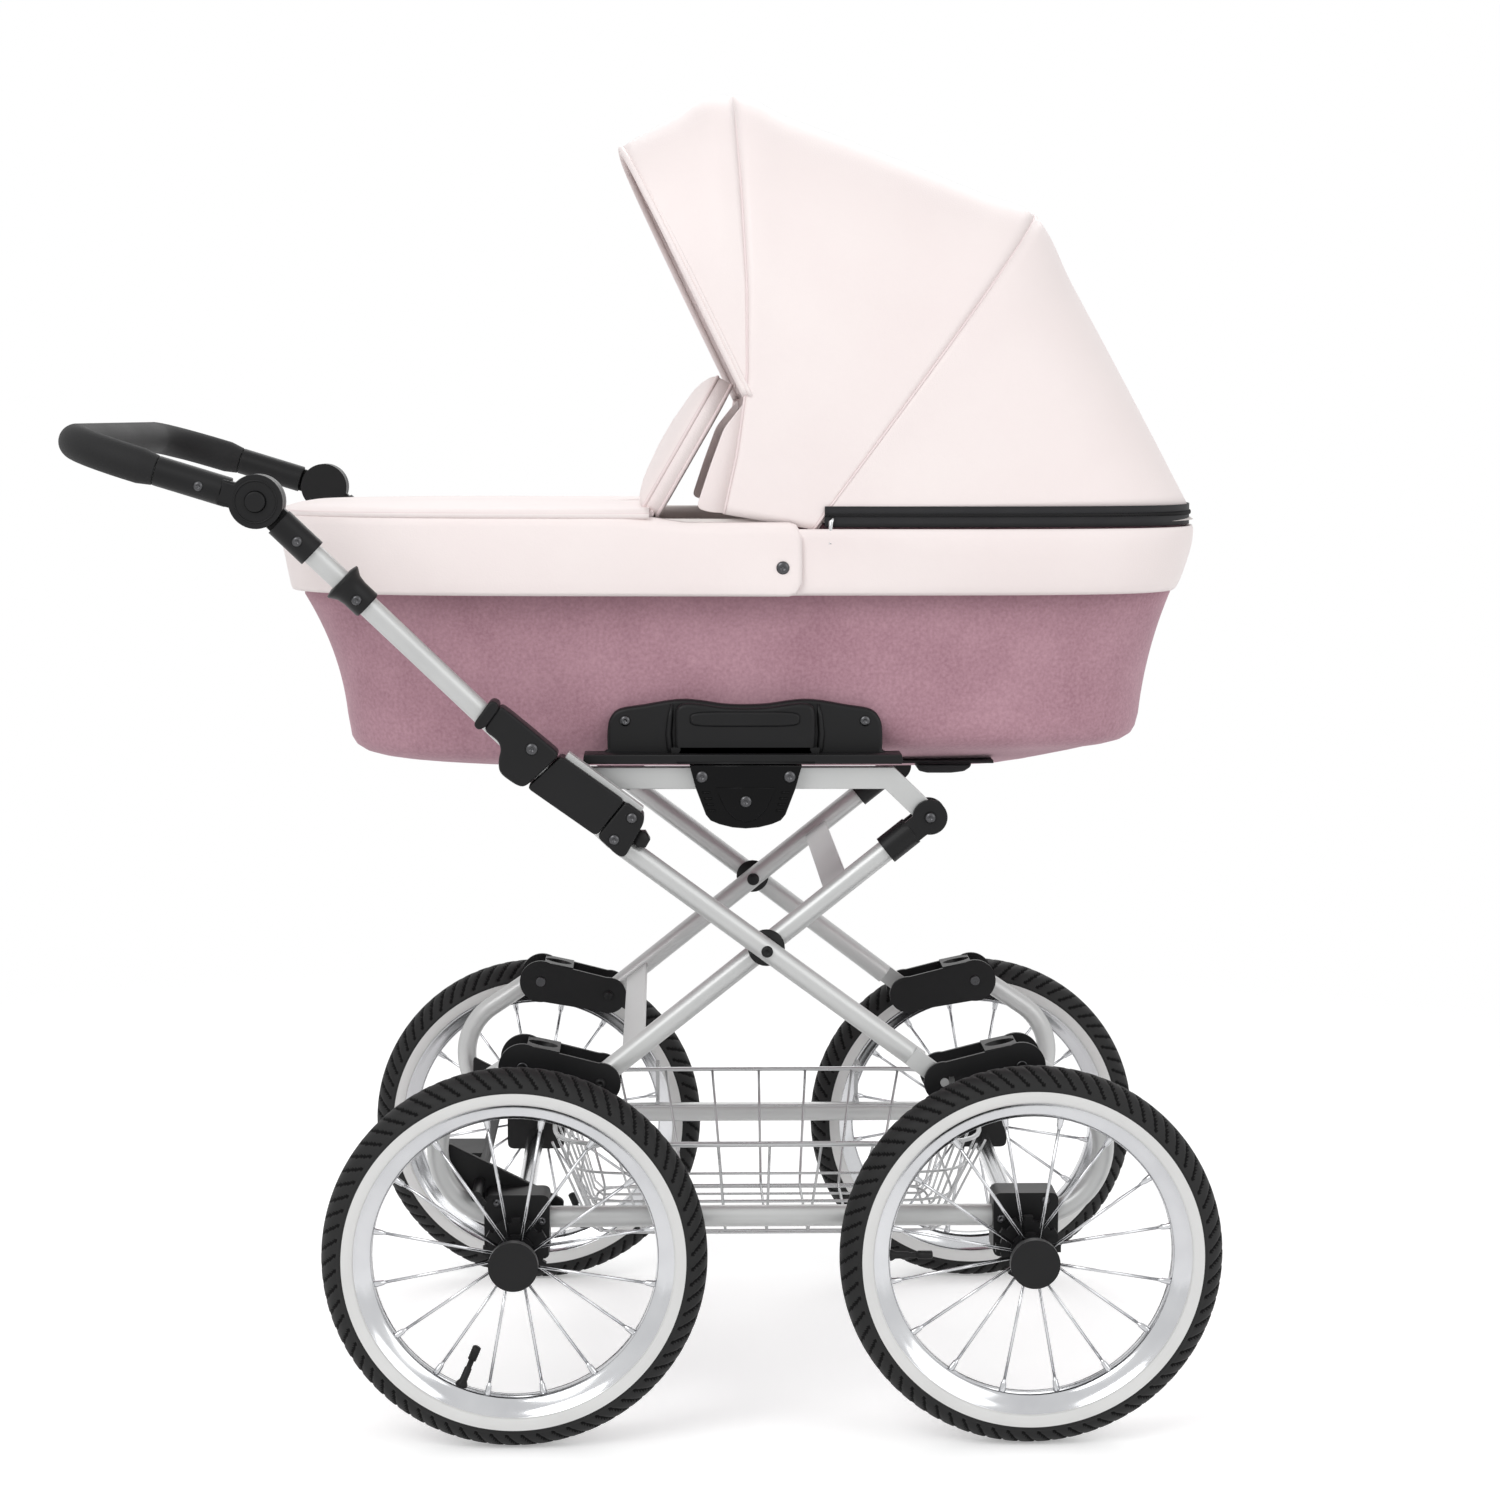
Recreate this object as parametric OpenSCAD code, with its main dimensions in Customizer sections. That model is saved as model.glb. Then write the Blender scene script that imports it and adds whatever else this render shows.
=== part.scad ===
// Bassinet pram: folding tubular chassis, lift-off tub, hood, apron and wire basket.
// Millimetres. X points from the handle to the hood, Y to the left, Z up from the floor.

/* [Wheels] */
// Distance between the two axles
wheel_base = 470; // [440:1:500]
// Distance from the base tubes out to the mid planes of the wheels
wheel_step = 61.5; // [58:0.5:72]
// Outer diameter of the tyres
tyre_d = 350; // [330:1:360]
// Width of the tyres
tyre_w = 44; // [38:1:46]
// Diameter of the rim flanges
rim_d = 294; // [286:1:300]
// Inner diameter of the rim barrel
rim_bore_d = 259; // [250:1:264]
// Width over the rim flanges
rim_w = 29; // [26:1:32]
// Number of spokes in a wheel
spoke_count = 16; // [12:2:20]
// Diameter of a spoke
spoke_d = 2.4; // [2:0.1:3]
// Diameter of the hub barrel
hub_d = 27; // [25:1:30]
// Diameter of the hub flanges that carry the spokes
hub_flange_d = 35; // [33:1:38]
// Diameter of the hub cap
hub_cap_d = 45; // [40:1:50]
// Diameter of the toothed brake disc on the hub
brake_disc_d = 60; // [54:1:64]
// Number of teeth on the brake disc
brake_teeth = 12; // [8:1:16]

/* [Base] */
// Diameter of the frame tubes
tube_d = 20; // [18:0.5:21]
// Wall of the frame tubes
tube_wall = 1.5; // [1:0.1:2]
// Distance from the tub's sides out to the base tubes
gauge_step = 15.5; // [14:0.5:18]
// Height of the base tubes above the floor
base_z = 196; // [194:1:200]
// Distance from the middle of the wheel base to the upright of the C ends
c_end_x = 308.5; // [300:0.5:315]
// Radius of the lower bend of the C ends
c_low_r = 65; // [60:1:66]
// Radius of the upper bend of the C ends
c_top_r = 60; // [56:1:62]
// Angle that the upper bend turns through
c_top_turn = 56; // [54:1:58]
// Length of the straight end of the C tube
c_top_len = 60; // [56:1:62]
// Diameter of the axle between the axle brackets
axle_d = 18; // [16:1:20]
// Diameter of the axle stub in the hub
stub_d = 12; // [10:1:13]
// Length of an axle bracket along the base tube
axle_bracket_l = 60; // [54:1:64]
// Width of an axle bracket across the base tube
axle_bracket_w = 37; // [34:1:40]
// Height of the top of an axle bracket above the base tube's centre line
axle_bracket_top = 25; // [22:1:27]
// Height of its underside below the axle's centre line
axle_bracket_drop = 14; // [12:1:16]

/* [Leg brackets] */
// Distance from the middle to the leg pivots
foot_x = 158; // [154:1:160]
// Height of the leg pivots
foot_z = 326.5; // [324:0.5:329]
// Distance from the middle to the outer screws
outer_screw_x = 229; // [227:1:232]
// Height of the outer screws
outer_screw_z = 341.5; // [340:0.5:343]
// Overall width of a leg bracket
leg_bracket_w = 48; // [48:0.5:49]
// Thickness of a bracket plate
leg_plate_t = 4; // [3:0.5:4]
// Radius of the bracket's outer end
leg_bracket_r = 22; // [20:1:23]
// Radius of the bracket's inner end
leg_bracket_small_r = 19; // [17:1:20]

/* [Folding frame] */
// Distance of the scissor pivot from the middle, along X
scissor_x = -5.5; // [-8:0.5:0]
// Height of the scissor pivot
scissor_z = 449; // [445:1:453]
// Length of the cross tube above the scissor pivot
cross_top_len = 192; // [188:1:196]
// Distance that the cross tubes stand inside the base tubes
cross_inset = 6; // [5:0.5:6.5]
// Diameter of the pivot bolts
bolt_d = 8; // [6:0.5:9]
// Fold of the cross tubes from open to folded
fold_turn = 23; // [18:1:23]
// Sideways spread of the handle tubes per unit of length
handle_spread_share = 0.07; // [0.06:0.005:0.075]
// Distance from the scissor pivot to the bend of the handle tube
handle_bend_len = 170; // [166:1:174]
// Slope of the upper handle tube
handle_slope = 44.2; // [43:0.1:45]
// Length of the upper handle tube from its bend to the knuckle
handle_top_len = 441; // [430:1:450]
// Length of a lock case
case_l = 100; // [92:1:104]
// Height of a lock case across the tube
case_h = 44; // [42:1:46]
// Width of a lock case
case_w = 34; // [32:1:35]
// Length of a lock trigger
trigger_l = 70; // [60:1:74]
// Diameter of the knuckle discs
knuckle_d = 48; // [44:1:50]
// Thickness of a knuckle disc
knuckle_t = 13.7; // [12:0.1:14]
// Slope of the handle bar's arms
bar_slope = 17; // [14:1:20]
// Distance from the knuckle to the bar's cross part
bar_reach = 177; // [172:1:182]
// Bend radius of the handle bar
bar_r = 70; // [60:1:74]
// Diameter of the handle bar's tube
bar_d = 22; // [20:1:22]
// Diameter of the grip
grip_d = 32; // [29:1:34]

/* [Top rails] */
// Height of the rails' centre line
rail_z = 605; // [603:1:606]
// Height of a rail bar
rail_h = 20; // [18:1:20]
// Thickness of a rail bar
rail_t = 12; // [11:0.5:12]
// Rear end of the rails
rail_rear_x = -185; // [-190:1:-182]
// Place where the rails bend down
rail_bend_x = 107; // [104:1:109]
// Length of a socket along its upper edge
socket_l = 100; // [96:1:104]
// Length of a socket along its lower edge
socket_low_l = 62; // [58:1:66]
// Height of a socket
socket_h = 59.5; // [55:0.5:62]
// Place of the socket's middle
socket_x = -25; // [-30:1:-20]
// Thickness of a socket
socket_t = 13.5; // [13:0.5:13.5]

/* [Tub] */
// Handle end of the tub's rim
tub_rear_x = -450; // [-455:1:-445]
// Hood end of the tub's rim
tub_front_x = 396; // [392:1:402]
// Half of the tub's width at the rim
tub_half_w = 198; // [190:1:206]
// Height of the tub's rim
tub_rim_z = 838; // [834:1:842]
// Drop of the tub's underside below the middle of the rails
tub_drop = 7; // [3:1:8]
// Draw-in of the handle end from rim to underside
tub_rear_taper = 51; // [44:1:54]
// Draw-in of the hood end from rim to underside
tub_front_taper = 40; // [34:1:44]
// Draw-in of each side from rim to underside
tub_side_taper = 13; // [12:1:16]
// Thickness of the tub's padded wall
tub_wall = 12; // [10:1:14]
// Height of the rim collar
collar_h = 72; // [66:1:76]
// Gap between tub and collar at the sides, where the hood hinges sit
collar_gap = 14.5; // [14.5:0.5:15.5]
// Gap between tub and collar at the ends
collar_end_gap = 4; // [3:0.5:6]
// Thickness of the collar
collar_t = 8; // [6:1:9]
// Front edge of the apron
apron_edge_x = -112; // [-118:1:-106]
// Thickness of the apron's top sheet
apron_t = 7; // [5:1:8]
// Crown of the apron's top sheet
apron_crown = 4; // [2:0.5:6]
// Thickness of the mattress
mattress_t = 45; // [35:1:55]
// Rise of the tub brackets above the shelf
tub_bracket_h = 49; // [44:1:52]
// Length of the release levers
lever_l = 121; // [110:1:125]
// Height of the release levers
lever_h = 34; // [30:1:38]

/* [Hood] */
// Place of the hood hinges along X
hood_x = 20; // [16:1:24]
// Height of the hood hinges
hood_z = 810; // [806:1:812]
// Rise of the rear bow above the horizontal
rear_bow_turn = 54; // [52:1:56]
// Reach of the rear bow
rear_bow_r = 394; // [385:1:400]
// Rise of the front bow above the horizontal
front_bow_turn = 97.5; // [96:0.5:99]
// Reach of the front bow
front_bow_r = 425; // [415:1:430]
// Height of the visor pivots above the hood hinges
visor_rise = 143; // [138:1:148]
// Rise of the visor bow above the horizontal
visor_turn = 116; // [114:1:119]
// Reach of the visor bow
visor_r = 258; // [250:1:264]
// Roundness of the hood's arch
hood_round = 2.9; // [2.4:0.1:3.4]
// Thickness of the hood's cloth and lining
hood_t = 4; // [3:0.5:5]
// Width of a bow strip
bow_w = 8; // [7:1:10]
// Length of the wind flap
flap_l = 140; // [130:1:146]
// Distance from the hood's sides in to the edges of the wind flap
flap_inset = 33.8; // [30:0.1:48]
// Thickness of the padded wind flap
flap_t = 20; // [14:1:22]
// Rise of the wind flap above the horizontal
flap_turn = 60; // [56:1:64]

/* [Basket] */
// Half of the basket's length at the rim
basket_half_l = 205; // [190:1:208]
// Distance from the base tubes in to the basket's rim
basket_inset = 45.5; // [42:0.5:54]
// Half of the basket's length at the floor
basket_floor_half_l = 168; // [150:1:176]
// Draw-in of each side of the basket from rim to floor
basket_side_run = 76; // [68:1:84]
// Height of the basket's rim
basket_rim_z = 252; // [248:1:256]
// Height of the basket's floor
basket_floor_z = 146; // [140:1:152]
// Thickness of the basket's wires
wire_d = 4; // [3:0.5:5]
// Spacing of the basket's wires
wire_pitch = 48; // [40:1:60]

/* [Hidden] */
$fn = 48;

// Clearances and one overrun for all cuts
fit = 0.05;
gap = 0.3;
over = 1;

// Wheels and axles
axle_x = wheel_base / 2;
axle_z = tyre_d / 2;
gauge_y = tub_half_w + gauge_step;
wheel_y = gauge_y + wheel_step;
track = 2 * wheel_y;
rim_t = 2.5;
bead_h = 14;
valve_d = 7;
valve_l = 36;
valve_turn = 247.5;
front_valve_turn = 180;
spoke_lean = 9;
hub_half_l = 26;
flange_y = 12;
flange_t = 3;
cap_t = 9;
disc_t = 6;
tooth_d = 8;

// Leg brackets
leg_bracket_in = gauge_y - leg_bracket_w / 2;
leg_bracket_out = gauge_y + leg_bracket_w / 2;
web_t = 4;
web_share = 0.42;
screw_d = 10;
screw_t = 2;

// Folding frame, worked out in the side view
rear_foot = [-foot_x, foot_z];
front_foot = [foot_x, foot_z];
scissor = [scissor_x, scissor_z];
cross_len = norm(scissor - rear_foot);
cross_dir = (scissor - rear_foot) / cross_len;
cross_turn = atan2(cross_dir[1], cross_dir[0]);
fork_pin = scissor + cross_top_len * cross_dir;
cross_y = gauge_y - cross_inset;
handle_len = norm(scissor - front_foot);
handle_dir = (scissor - front_foot) / handle_len;
handle_turn = atan2(handle_dir[1], -handle_dir[0]);
handle_bend = scissor + handle_bend_len * handle_dir;
upper_dir = [-cos(handle_slope), sin(handle_slope)];
knuckle = handle_bend + handle_top_len * upper_dir;
tongue_l = 28;
tongue_t = 6;
tongue_r = tube_d / 2;
tongue_flat = 18;
tongue_y = gauge_y + tube_d / 2 + gap;
handle_run = 93;
handle_foot_y = leg_bracket_out - leg_plate_t - gap - tube_d / 2 - handle_spread_share * handle_run;
plug_l = 20;

// Where the handle's foot stands when the frame is folded
folded_cross = cross_turn - fold_turn;
folded_handle = handle_turn - fold_turn;
folded_foot = rear_foot + cross_len * [cos(folded_cross), sin(folded_cross)]
    + handle_len * [cos(folded_handle), -sin(folded_handle)];

// Sideways place of a handle tube at a distance from its foot
function handle_y(s) = handle_foot_y + handle_spread_share * s;
bend_s = handle_len + handle_bend_len;
knuckle_y = handle_y(bend_s + handle_top_len);
case_y = handle_y(bend_s + case_l / 2);
case_low = -tube_d / 2;
case_start = -8;
case_r = 8;
trigger_gap = 4.6;
trigger_h = 31;
trigger_w = 32;
trigger_lip_d = 28;
trigger_lip_l = 6;
trigger_start = case_l + case_start + trigger_gap;
collar_drop = 133;
collar_place = handle_top_len - collar_drop;
collar_d = 28;
collar_l = 33;
collar_lip_d = 37;
collar_lip_t = 3;
strip_t = 6;
strip_w = 16;
fork_d = 32;
fork_t = 5;
fork_sleeve_d = 27;
fork_sleeve_l = 30;
fork_room = 5;
fork_sleeve_start = fork_d / 2 + fork_room;
fork_root = 3;
plate_w = 26;
plate_t = 3;
plate_places = [39, 280];
washer_d = 34;
knuckle_pin_d = 12;
button_d = 18;
button_l = 9;
button_travel = 4;
arm_d = 27;
arm_step = 2;
arm_start = knuckle_d / 2 + arm_step;
arm_end = 92;
arm_root = 6;
arm_inset = 3;
arm_web = 16;
base_arm_end = 66;
cone_l = 14;

// Top rails and sockets
rail_y = cross_y;
rail_out = rail_y + rail_t / 2;
rail_end_r = 13;
rail_pin_d = 10;
rail_pin_x = rail_rear_x + rail_pin_d;
socket_rise = 13.5;
socket_top = rail_z + socket_rise;
socket_wall = 4;
tongue_clear = 0.25;
pocket_y = rail_out + socket_wall;
pocket_t = socket_t - 2 * socket_wall;
socket_screw_d = 7;
socket_screw_t = 0.8;

// Tub
tub_floor_z = rail_z - tub_drop;
tub_h = tub_rim_z - tub_floor_z;
tub_round = 4;
flare_power = 2.2;
rear_flare_share = 0.7;
front_flare_share = 0.8;
ring_points = 48;
shelf_z = socket_top + gap;
shelf_t = 9;
bracket_t = 12;
tub_bracket_l = 250;
shelf_l = 285;
collar_low = tub_rim_z - collar_h;
collar_half = tub_half_w + collar_gap;
collar_hem = 6;
hem_ease = 0.6;
hinge_d = 32;
hinge_pin_d = 8;
eye_d = 24;
eye_t = 3.4;
bow_t = 2.6;
stud_d = 12;
stud_t = 2;
lever_t = 6;
lever_pin_d = 5;
lever_barrel_d = 9;

// Hood
hood_pivot = [hood_x, hood_z];
hood_gap = 0.7;
hood_half_w = collar_half - hood_gap;
flap_half_w = hood_half_w - flap_inset;
bow_gap = 4;
visor_pivot = hood_pivot + visor_rise / sin(front_bow_turn) * [cos(front_bow_turn), sin(front_bow_turn)];
arch_steps = 28;
bow_steps = 56;
panel_steps = 6;
flap_z = tub_rim_z + apron_t + 2 * gap;

// The origin lies under the middle of the whole pram
rear_end = knuckle[0] - bar_reach * cos(bar_slope) - grip_d / 2;
front_end = max(tub_front_x + collar_end_gap + collar_t + stud_t, axle_x + tyre_d / 2);
shift_x = -(rear_end + front_end) / 2;

// Frames and helpers
module placed() {
    translate([shift_x, 0, 0]) children();
}

module both_sides() {
    children();
    mirror([0, 1, 0]) children();
}

// Draws on the left for 1 and on the right for -1
module on_side(side) {
    if (side < 0) mirror([0, 1, 0]) children();
    else children();
}

module both_ends() {
    children();
    mirror([1, 0, 0]) children();
}

// Turns a flat outline in X and Z into a plate from y to y + t
module side_plate(y, t) {
    translate([0, y + t, 0]) rotate([90, 0, 0]) linear_extrude(height = t) children();
}

// Round bar along Y
module cross_pin(p, y, l, d) {
    translate([p[0], y + l, p[1]]) rotate([90, 0, 0]) cylinder(h = l, d = d);
}

// Places children along the line from p to q, with their Z axis on it
module along(p, q) {
    v = q - p;
    translate(p) rotate([0, acos(v[2] / norm(v)), atan2(v[1], v[0])]) children();
}

module rod(p, q, d) {
    along(p, q) cylinder(h = norm(q - p), d = d);
}

module pipe(p, q, d, bore) {
    along(p, q) difference() {
        cylinder(h = norm(q - p), d = d);
        translate([0, 0, -over]) cylinder(h = norm(q - p) + 2 * over, d = bore);
    }
}

module tube_ring() {
    difference() {
        circle(d = tube_d);
        circle(d = tube_d - 2 * tube_wall);
    }
}

// Elbow in X and Z about a centre
module elbow(centre, r, start, turn) {
    translate([centre[0], 0, centre[1]]) rotate([90, 0, 0]) rotate([0, 0, start])
        rotate_extrude(angle = turn) translate([r, 0]) tube_ring();
}

// Outline with each corner rounded by a curve that starts r before it
function rounded(pts, r, n = 4) = [
    for (i = [0:len(pts) - 1])
        let (p = pts[i], a = pts[(i + len(pts) - 1) % len(pts)], b = pts[(i + 1) % len(pts)],
             s = p + r * (a - p) / norm(a - p), e = p + r * (b - p) / norm(b - p))
        for (k = [0:n]) let (t = k / n) (1 - t) * (1 - t) * s + 2 * t * (1 - t) * p + t * t * e
];

function box_points(w, h) = [[0, 0], [w, 0], [w, h], [0, h]];

// Closed skin through rings of points, with flat caps or as a closed loop
module loft(rings, loop = false) {
    n = len(rings[0]);
    m = len(rings);
    last = loop ? m - 1 : m - 2;
    faces = [
        for (i = [0:last]) for (j = [0:n - 1])
            let (a = i * n + j, b = i * n + (j + 1) % n, c = ((i + 1) % m) * n + (j + 1) % n,
                 d = ((i + 1) % m) * n + j)
            for (f = [[a, c, b], [a, d, c]]) f
    ];
    caps = loop ? [] : concat(
        [for (j = [1:n - 2]) [0, j, j + 1]],
        [for (j = [1:n - 2]) [(m - 1) * n, (m - 1) * n + j + 1, (m - 1) * n + j]]
    );
    polyhedron(points = [for (r = rings) for (p = r) p], faces = concat(faces, caps));
}

// One ring of the tub's outline in plan: a rounded box between two ends
function plan_ring(x1, x2, half_w, z, power = tub_round) = [
    for (j = [0:ring_points - 1])
        let (a = 360 * j / ring_points, c = cos(a), s = sin(a))
        [(x1 + x2) / 2 + (x2 - x1) / 2 * sign(c) * pow(abs(c), 2 / power),
         half_w * sign(s) * pow(abs(s), 2 / power), z]
];

// Share of an end's draw-in that is left at a share of the tub's height
function flare(rise_share, full_share) = 1 - pow(min(1, rise_share / full_share), flare_power);

// The tub's outline at a share of its height, drawn in by a margin
function tub_ring(rise_share, margin) =
    plan_ring(tub_rear_x + tub_rear_taper * flare(rise_share, rear_flare_share) + margin,
              tub_front_x - tub_front_taper * flare(rise_share, front_flare_share) - margin,
              tub_half_w - tub_side_taper * (1 - rise_share) - margin,
              tub_floor_z + tub_h * rise_share);

function rise(z) = (z - tub_floor_z) / tub_h;
function tub_half_at(z) = tub_half_w - tub_side_taper * (1 - rise(z));

// Chassis base
module c_end() {
    bore = tube_d - 2 * tube_wall;
    elbow([c_end_x - c_low_r, base_z + c_low_r], c_low_r, -90, 90);
    elbow([c_end_x - c_top_r, base_z + c_low_r], c_top_r, 0, c_top_turn);
    c_tip_frame() pipe([0, 0, 0], [0, 0, c_top_len], tube_d, bore);
}

// Stands on the end of the upper bend, with Z along the straight tip
module c_tip_frame() {
    translate([c_end_x - c_top_r, 0, base_z + c_low_r]) rotate([0, -c_top_turn, 0])
        translate([c_top_r, 0, 0]) children();
}

module base_tubes() {
    straight_x = c_end_x - c_low_r;
    color("gainsboro") placed() both_sides() translate([0, gauge_y, 0]) {
        pipe([-straight_x, 0, base_z], [straight_x, 0, base_z], tube_d, tube_d - 2 * tube_wall);
        both_ends() c_end();
    }
}

axle_bracket_in = gauge_y - axle_bracket_w / 2;
stub_end = wheel_y + hub_half_l;

module axles() {
    color("silver") placed() both_ends() {
        cross_pin([axle_x, axle_z], -axle_bracket_in, 2 * axle_bracket_in, axle_d);
        cross_pin([axle_x, axle_z], -stub_end, 2 * stub_end, stub_d);
    }
}

brake_back = 36;
brake_rise = 28;
brake_x = -axle_x - brake_back;
brake_z = base_z + brake_rise;
brake_d = 10;
gusset_t = 6;
gusset_w = 24;
gusset_r = 4;
gusset_low_share = 0.7;
seat_turn = 45;

// Room for a base tube's straight run and lower bend
module tube_seat() {
    straight_x = c_end_x - c_low_r;
    seat_d = tube_d + 2 * fit;
    rod([0, gauge_y, base_z], [straight_x, gauge_y, base_z], seat_d);
    translate([straight_x, gauge_y, base_z + c_low_r]) rotate([90, 0, 0]) rotate([0, 0, -90])
        rotate_extrude(angle = seat_turn) translate([c_low_r, 0]) circle(d = seat_d);
}

module axle_bracket() {
    low = axle_z - axle_bracket_drop;
    high = base_z + axle_bracket_top;
    difference() {
        side_plate(axle_bracket_in, axle_bracket_w)
            translate([axle_x - axle_bracket_l / 2, low])
                polygon(rounded(box_points(axle_bracket_l, high - low), axle_bracket_drop / 2));
        tube_seat();
        cross_pin([axle_x, axle_z], 0, track, stub_d + 2 * fit);
    }
}

// Plate that carries the brake shaft beside the rear axle bracket
module brake_gusset() {
    ends = [[-axle_x + axle_bracket_l / 2, base_z + gusset_w / 2], [brake_x - gusset_w / 2, brake_z + gusset_w]];
    difference() {
        side_plate(axle_bracket_in - gusset_t, gusset_t)
            polygon(rounded([ends[0] - [0, gusset_w], ends[0], ends[1],
                             ends[1] - [gusset_w / 2, gusset_w], [brake_x, brake_z - gusset_w * gusset_low_share]], gusset_r));
        cross_pin([brake_x, brake_z], 0, track, brake_d + 2 * fit);
        cross_pin([-axle_x, axle_z], 0, track, axle_d + 2 * gap);
    }
}

module axle_brackets() {
    color("dimgray") placed() both_sides() {
        both_ends() axle_bracket();
        brake_gusset();
    }
}

// Outline of a leg bracket on the hood side
module leg_bracket_outline() {
    foot = front_foot;
    outer = [outer_screw_x, outer_screw_z];
    v = (outer - foot) / norm(outer - foot);
    across = [-v[1], v[0]];
    big = leg_bracket_r - over;
    small = leg_bracket_small_r - over;
    translate(foot) circle(r = leg_bracket_small_r);
    translate(outer) circle(r = leg_bracket_r);
    polygon([foot - small * across, outer - big * across, outer + big * across, foot + small * across]);
}

// Top web that joins the two plates over the C tube's end
module leg_bracket_web() {
    v = [outer_screw_x - foot_x, outer_screw_z - foot_z];
    tilt = atan2(v[1], v[0]);
    l = norm(v);
    translate([outer_screw_x, 0, outer_screw_z]) rotate([0, -tilt, 0])
        translate([-l * web_share, leg_bracket_in + over, leg_bracket_r - web_t - over])
            cube([l * web_share, leg_bracket_w - 2 * over, web_t]);
}

// Path of the sliding foot pin through the outer plate
module foot_slot() {
    width = bolt_d + 2 * over;
    v = (folded_foot - front_foot) / norm(folded_foot - front_foot);
    across = width / 2 * [-v[1], v[0]];
    y = leg_bracket_out - leg_plate_t - over;
    side_plate(y, leg_plate_t + 2 * over) {
        translate(front_foot) circle(d = bolt_d + 2 * fit);
        translate(folded_foot) circle(d = width);
        polygon([front_foot + bolt_d / 2 * v - across, folded_foot - across, folded_foot + across,
                 front_foot + bolt_d / 2 * v + across]);
    }
}

module leg_bracket(slotted) {
    boss_y = leg_bracket_in + leg_plate_t;
    difference() {
        union() {
            side_plate(leg_bracket_in, leg_plate_t) leg_bracket_outline();
            side_plate(leg_bracket_out - leg_plate_t, leg_plate_t) leg_bracket_outline();
            leg_bracket_web();
            cross_pin([outer_screw_x, outer_screw_z], boss_y - over, gauge_y - boss_y + over, tube_d);
        }
        c_tip_frame() rod([0, gauge_y, 0], [0, gauge_y, 2 * c_top_len], tube_d + 2 * fit);
        if (slotted) foot_slot();
        else cross_pin(front_foot, 0, track, bolt_d + 2 * fit);
    }
}

module leg_brackets() {
    color("#2b2b2d") placed() both_sides() {
        leg_bracket(true);
        mirror([1, 0, 0]) leg_bracket(false);
    }
}

module bracket_screws() {
    outer = [outer_screw_x, outer_screw_z];
    color("silver") placed() both_sides() both_ends() {
        cross_pin(outer, leg_bracket_out, screw_t, screw_d);
        cross_pin(outer, leg_bracket_in - screw_t, screw_t, screw_d);
    }
}

// Wire grille with a lower width w, an upper width v and a height h, centred on X
module grille(w, v, h) {
    columns = round(w / wire_pitch);
    rows = max(1, round(h / wire_pitch));
    cell_h = (h - wire_d) / rows;
    function place(i, y) = let (l = w + (v - w) * y / h) -l / 2 + wire_d / 2 + i * (l - wire_d) / columns;
    difference() {
        polygon([[-w / 2, 0], [w / 2, 0], [v / 2, h], [-v / 2, h]]);
        for (i = [0:columns - 1]) for (j = [0:rows - 1]) {
            low = wire_d + j * cell_h;
            high = low + cell_h - wire_d;
            r = wire_d / 2;
            polygon([[place(i, low) + r, low], [place(i + 1, low) - r, low],
                     [place(i + 1, high) - r, high], [place(i, high) + r, high]]);
        }
    }
}

basket_drop = basket_rim_z - basket_floor_z;
basket_half_w = gauge_y - basket_inset;
basket_floor_half_w = basket_half_w - basket_side_run;

module basket_floor() {
    w = 2 * basket_floor_half_l;
    color("silver") placed() translate([0, -basket_floor_half_w, basket_floor_z])
        linear_extrude(height = wire_d) grille(w, w, 2 * basket_floor_half_w);
}

module basket_side() {
    run = basket_half_w - basket_floor_half_w - wire_d;
    slope = atan2(basket_drop, run);
    translate([0, basket_floor_half_w + wire_d, basket_floor_z]) rotate([slope, 0, 0])
        linear_extrude(height = wire_d)
            grille(2 * basket_floor_half_l + 2 * wire_d, 2 * basket_half_l - 2 * gap, norm([run, basket_drop]));
}

module basket_side_right() {
    color("silver") placed() on_side(-1) basket_side();
}

module basket_side_left() {
    color("silver") placed() on_side(1) basket_side();
}

module basket_end() {
    start = basket_floor_half_l + wire_d + gap;
    run = basket_half_l - start;
    slope = atan2(basket_drop, run);
    translate([start, 0, basket_floor_z]) rotate([0, -slope, 0]) rotate([180, 0, 0])
        linear_extrude(height = wire_d) rotate(-90)
            grille(2 * basket_floor_half_w + 2 * wire_d, 2 * basket_half_w, norm([run, basket_drop]));
}

module basket_end_front() {
    color("silver") placed() basket_end();
}

module basket_end_rear() {
    color("silver") placed() mirror([1, 0, 0]) basket_end();
}

hook_share = 0.62;

// Hooks from the basket's rim over the base tubes
module basket_hooks() {
    rim_y = basket_half_w + gap;
    seat = base_z + tube_d / 2 + gap;
    reach = gauge_y + tube_d / 2 + gap;
    x = basket_floor_half_l * hook_share;
    arm = [[rim_y, basket_rim_z - wire_d], [rim_y, basket_rim_z], [gauge_y, basket_rim_z],
           [reach + wire_d, basket_rim_z - wire_d], [reach + wire_d, base_z], [reach, base_z], [reach, seat],
           [gauge_y - tube_d / 2, seat], [gauge_y - tube_d / 2, seat + wire_d], [reach - over, seat + wire_d],
           [reach - over, basket_rim_z - 2 * wire_d], [gauge_y, basket_rim_z - wire_d]];
    color("silver") placed() both_sides() both_ends()
        translate([x, 0, 0]) rotate([90, 0, 90]) linear_extrude(height = wire_d) polygon(arm);
}

// Brake shaft with pedal and the two pawls beside the toothed discs
brake_shaft_end = wheel_y - hub_half_l;
pedal_l = 52;
pedal_w = 60;
pedal_t = 8;
pawl_l = 6;
pawl_d = 7;

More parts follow.
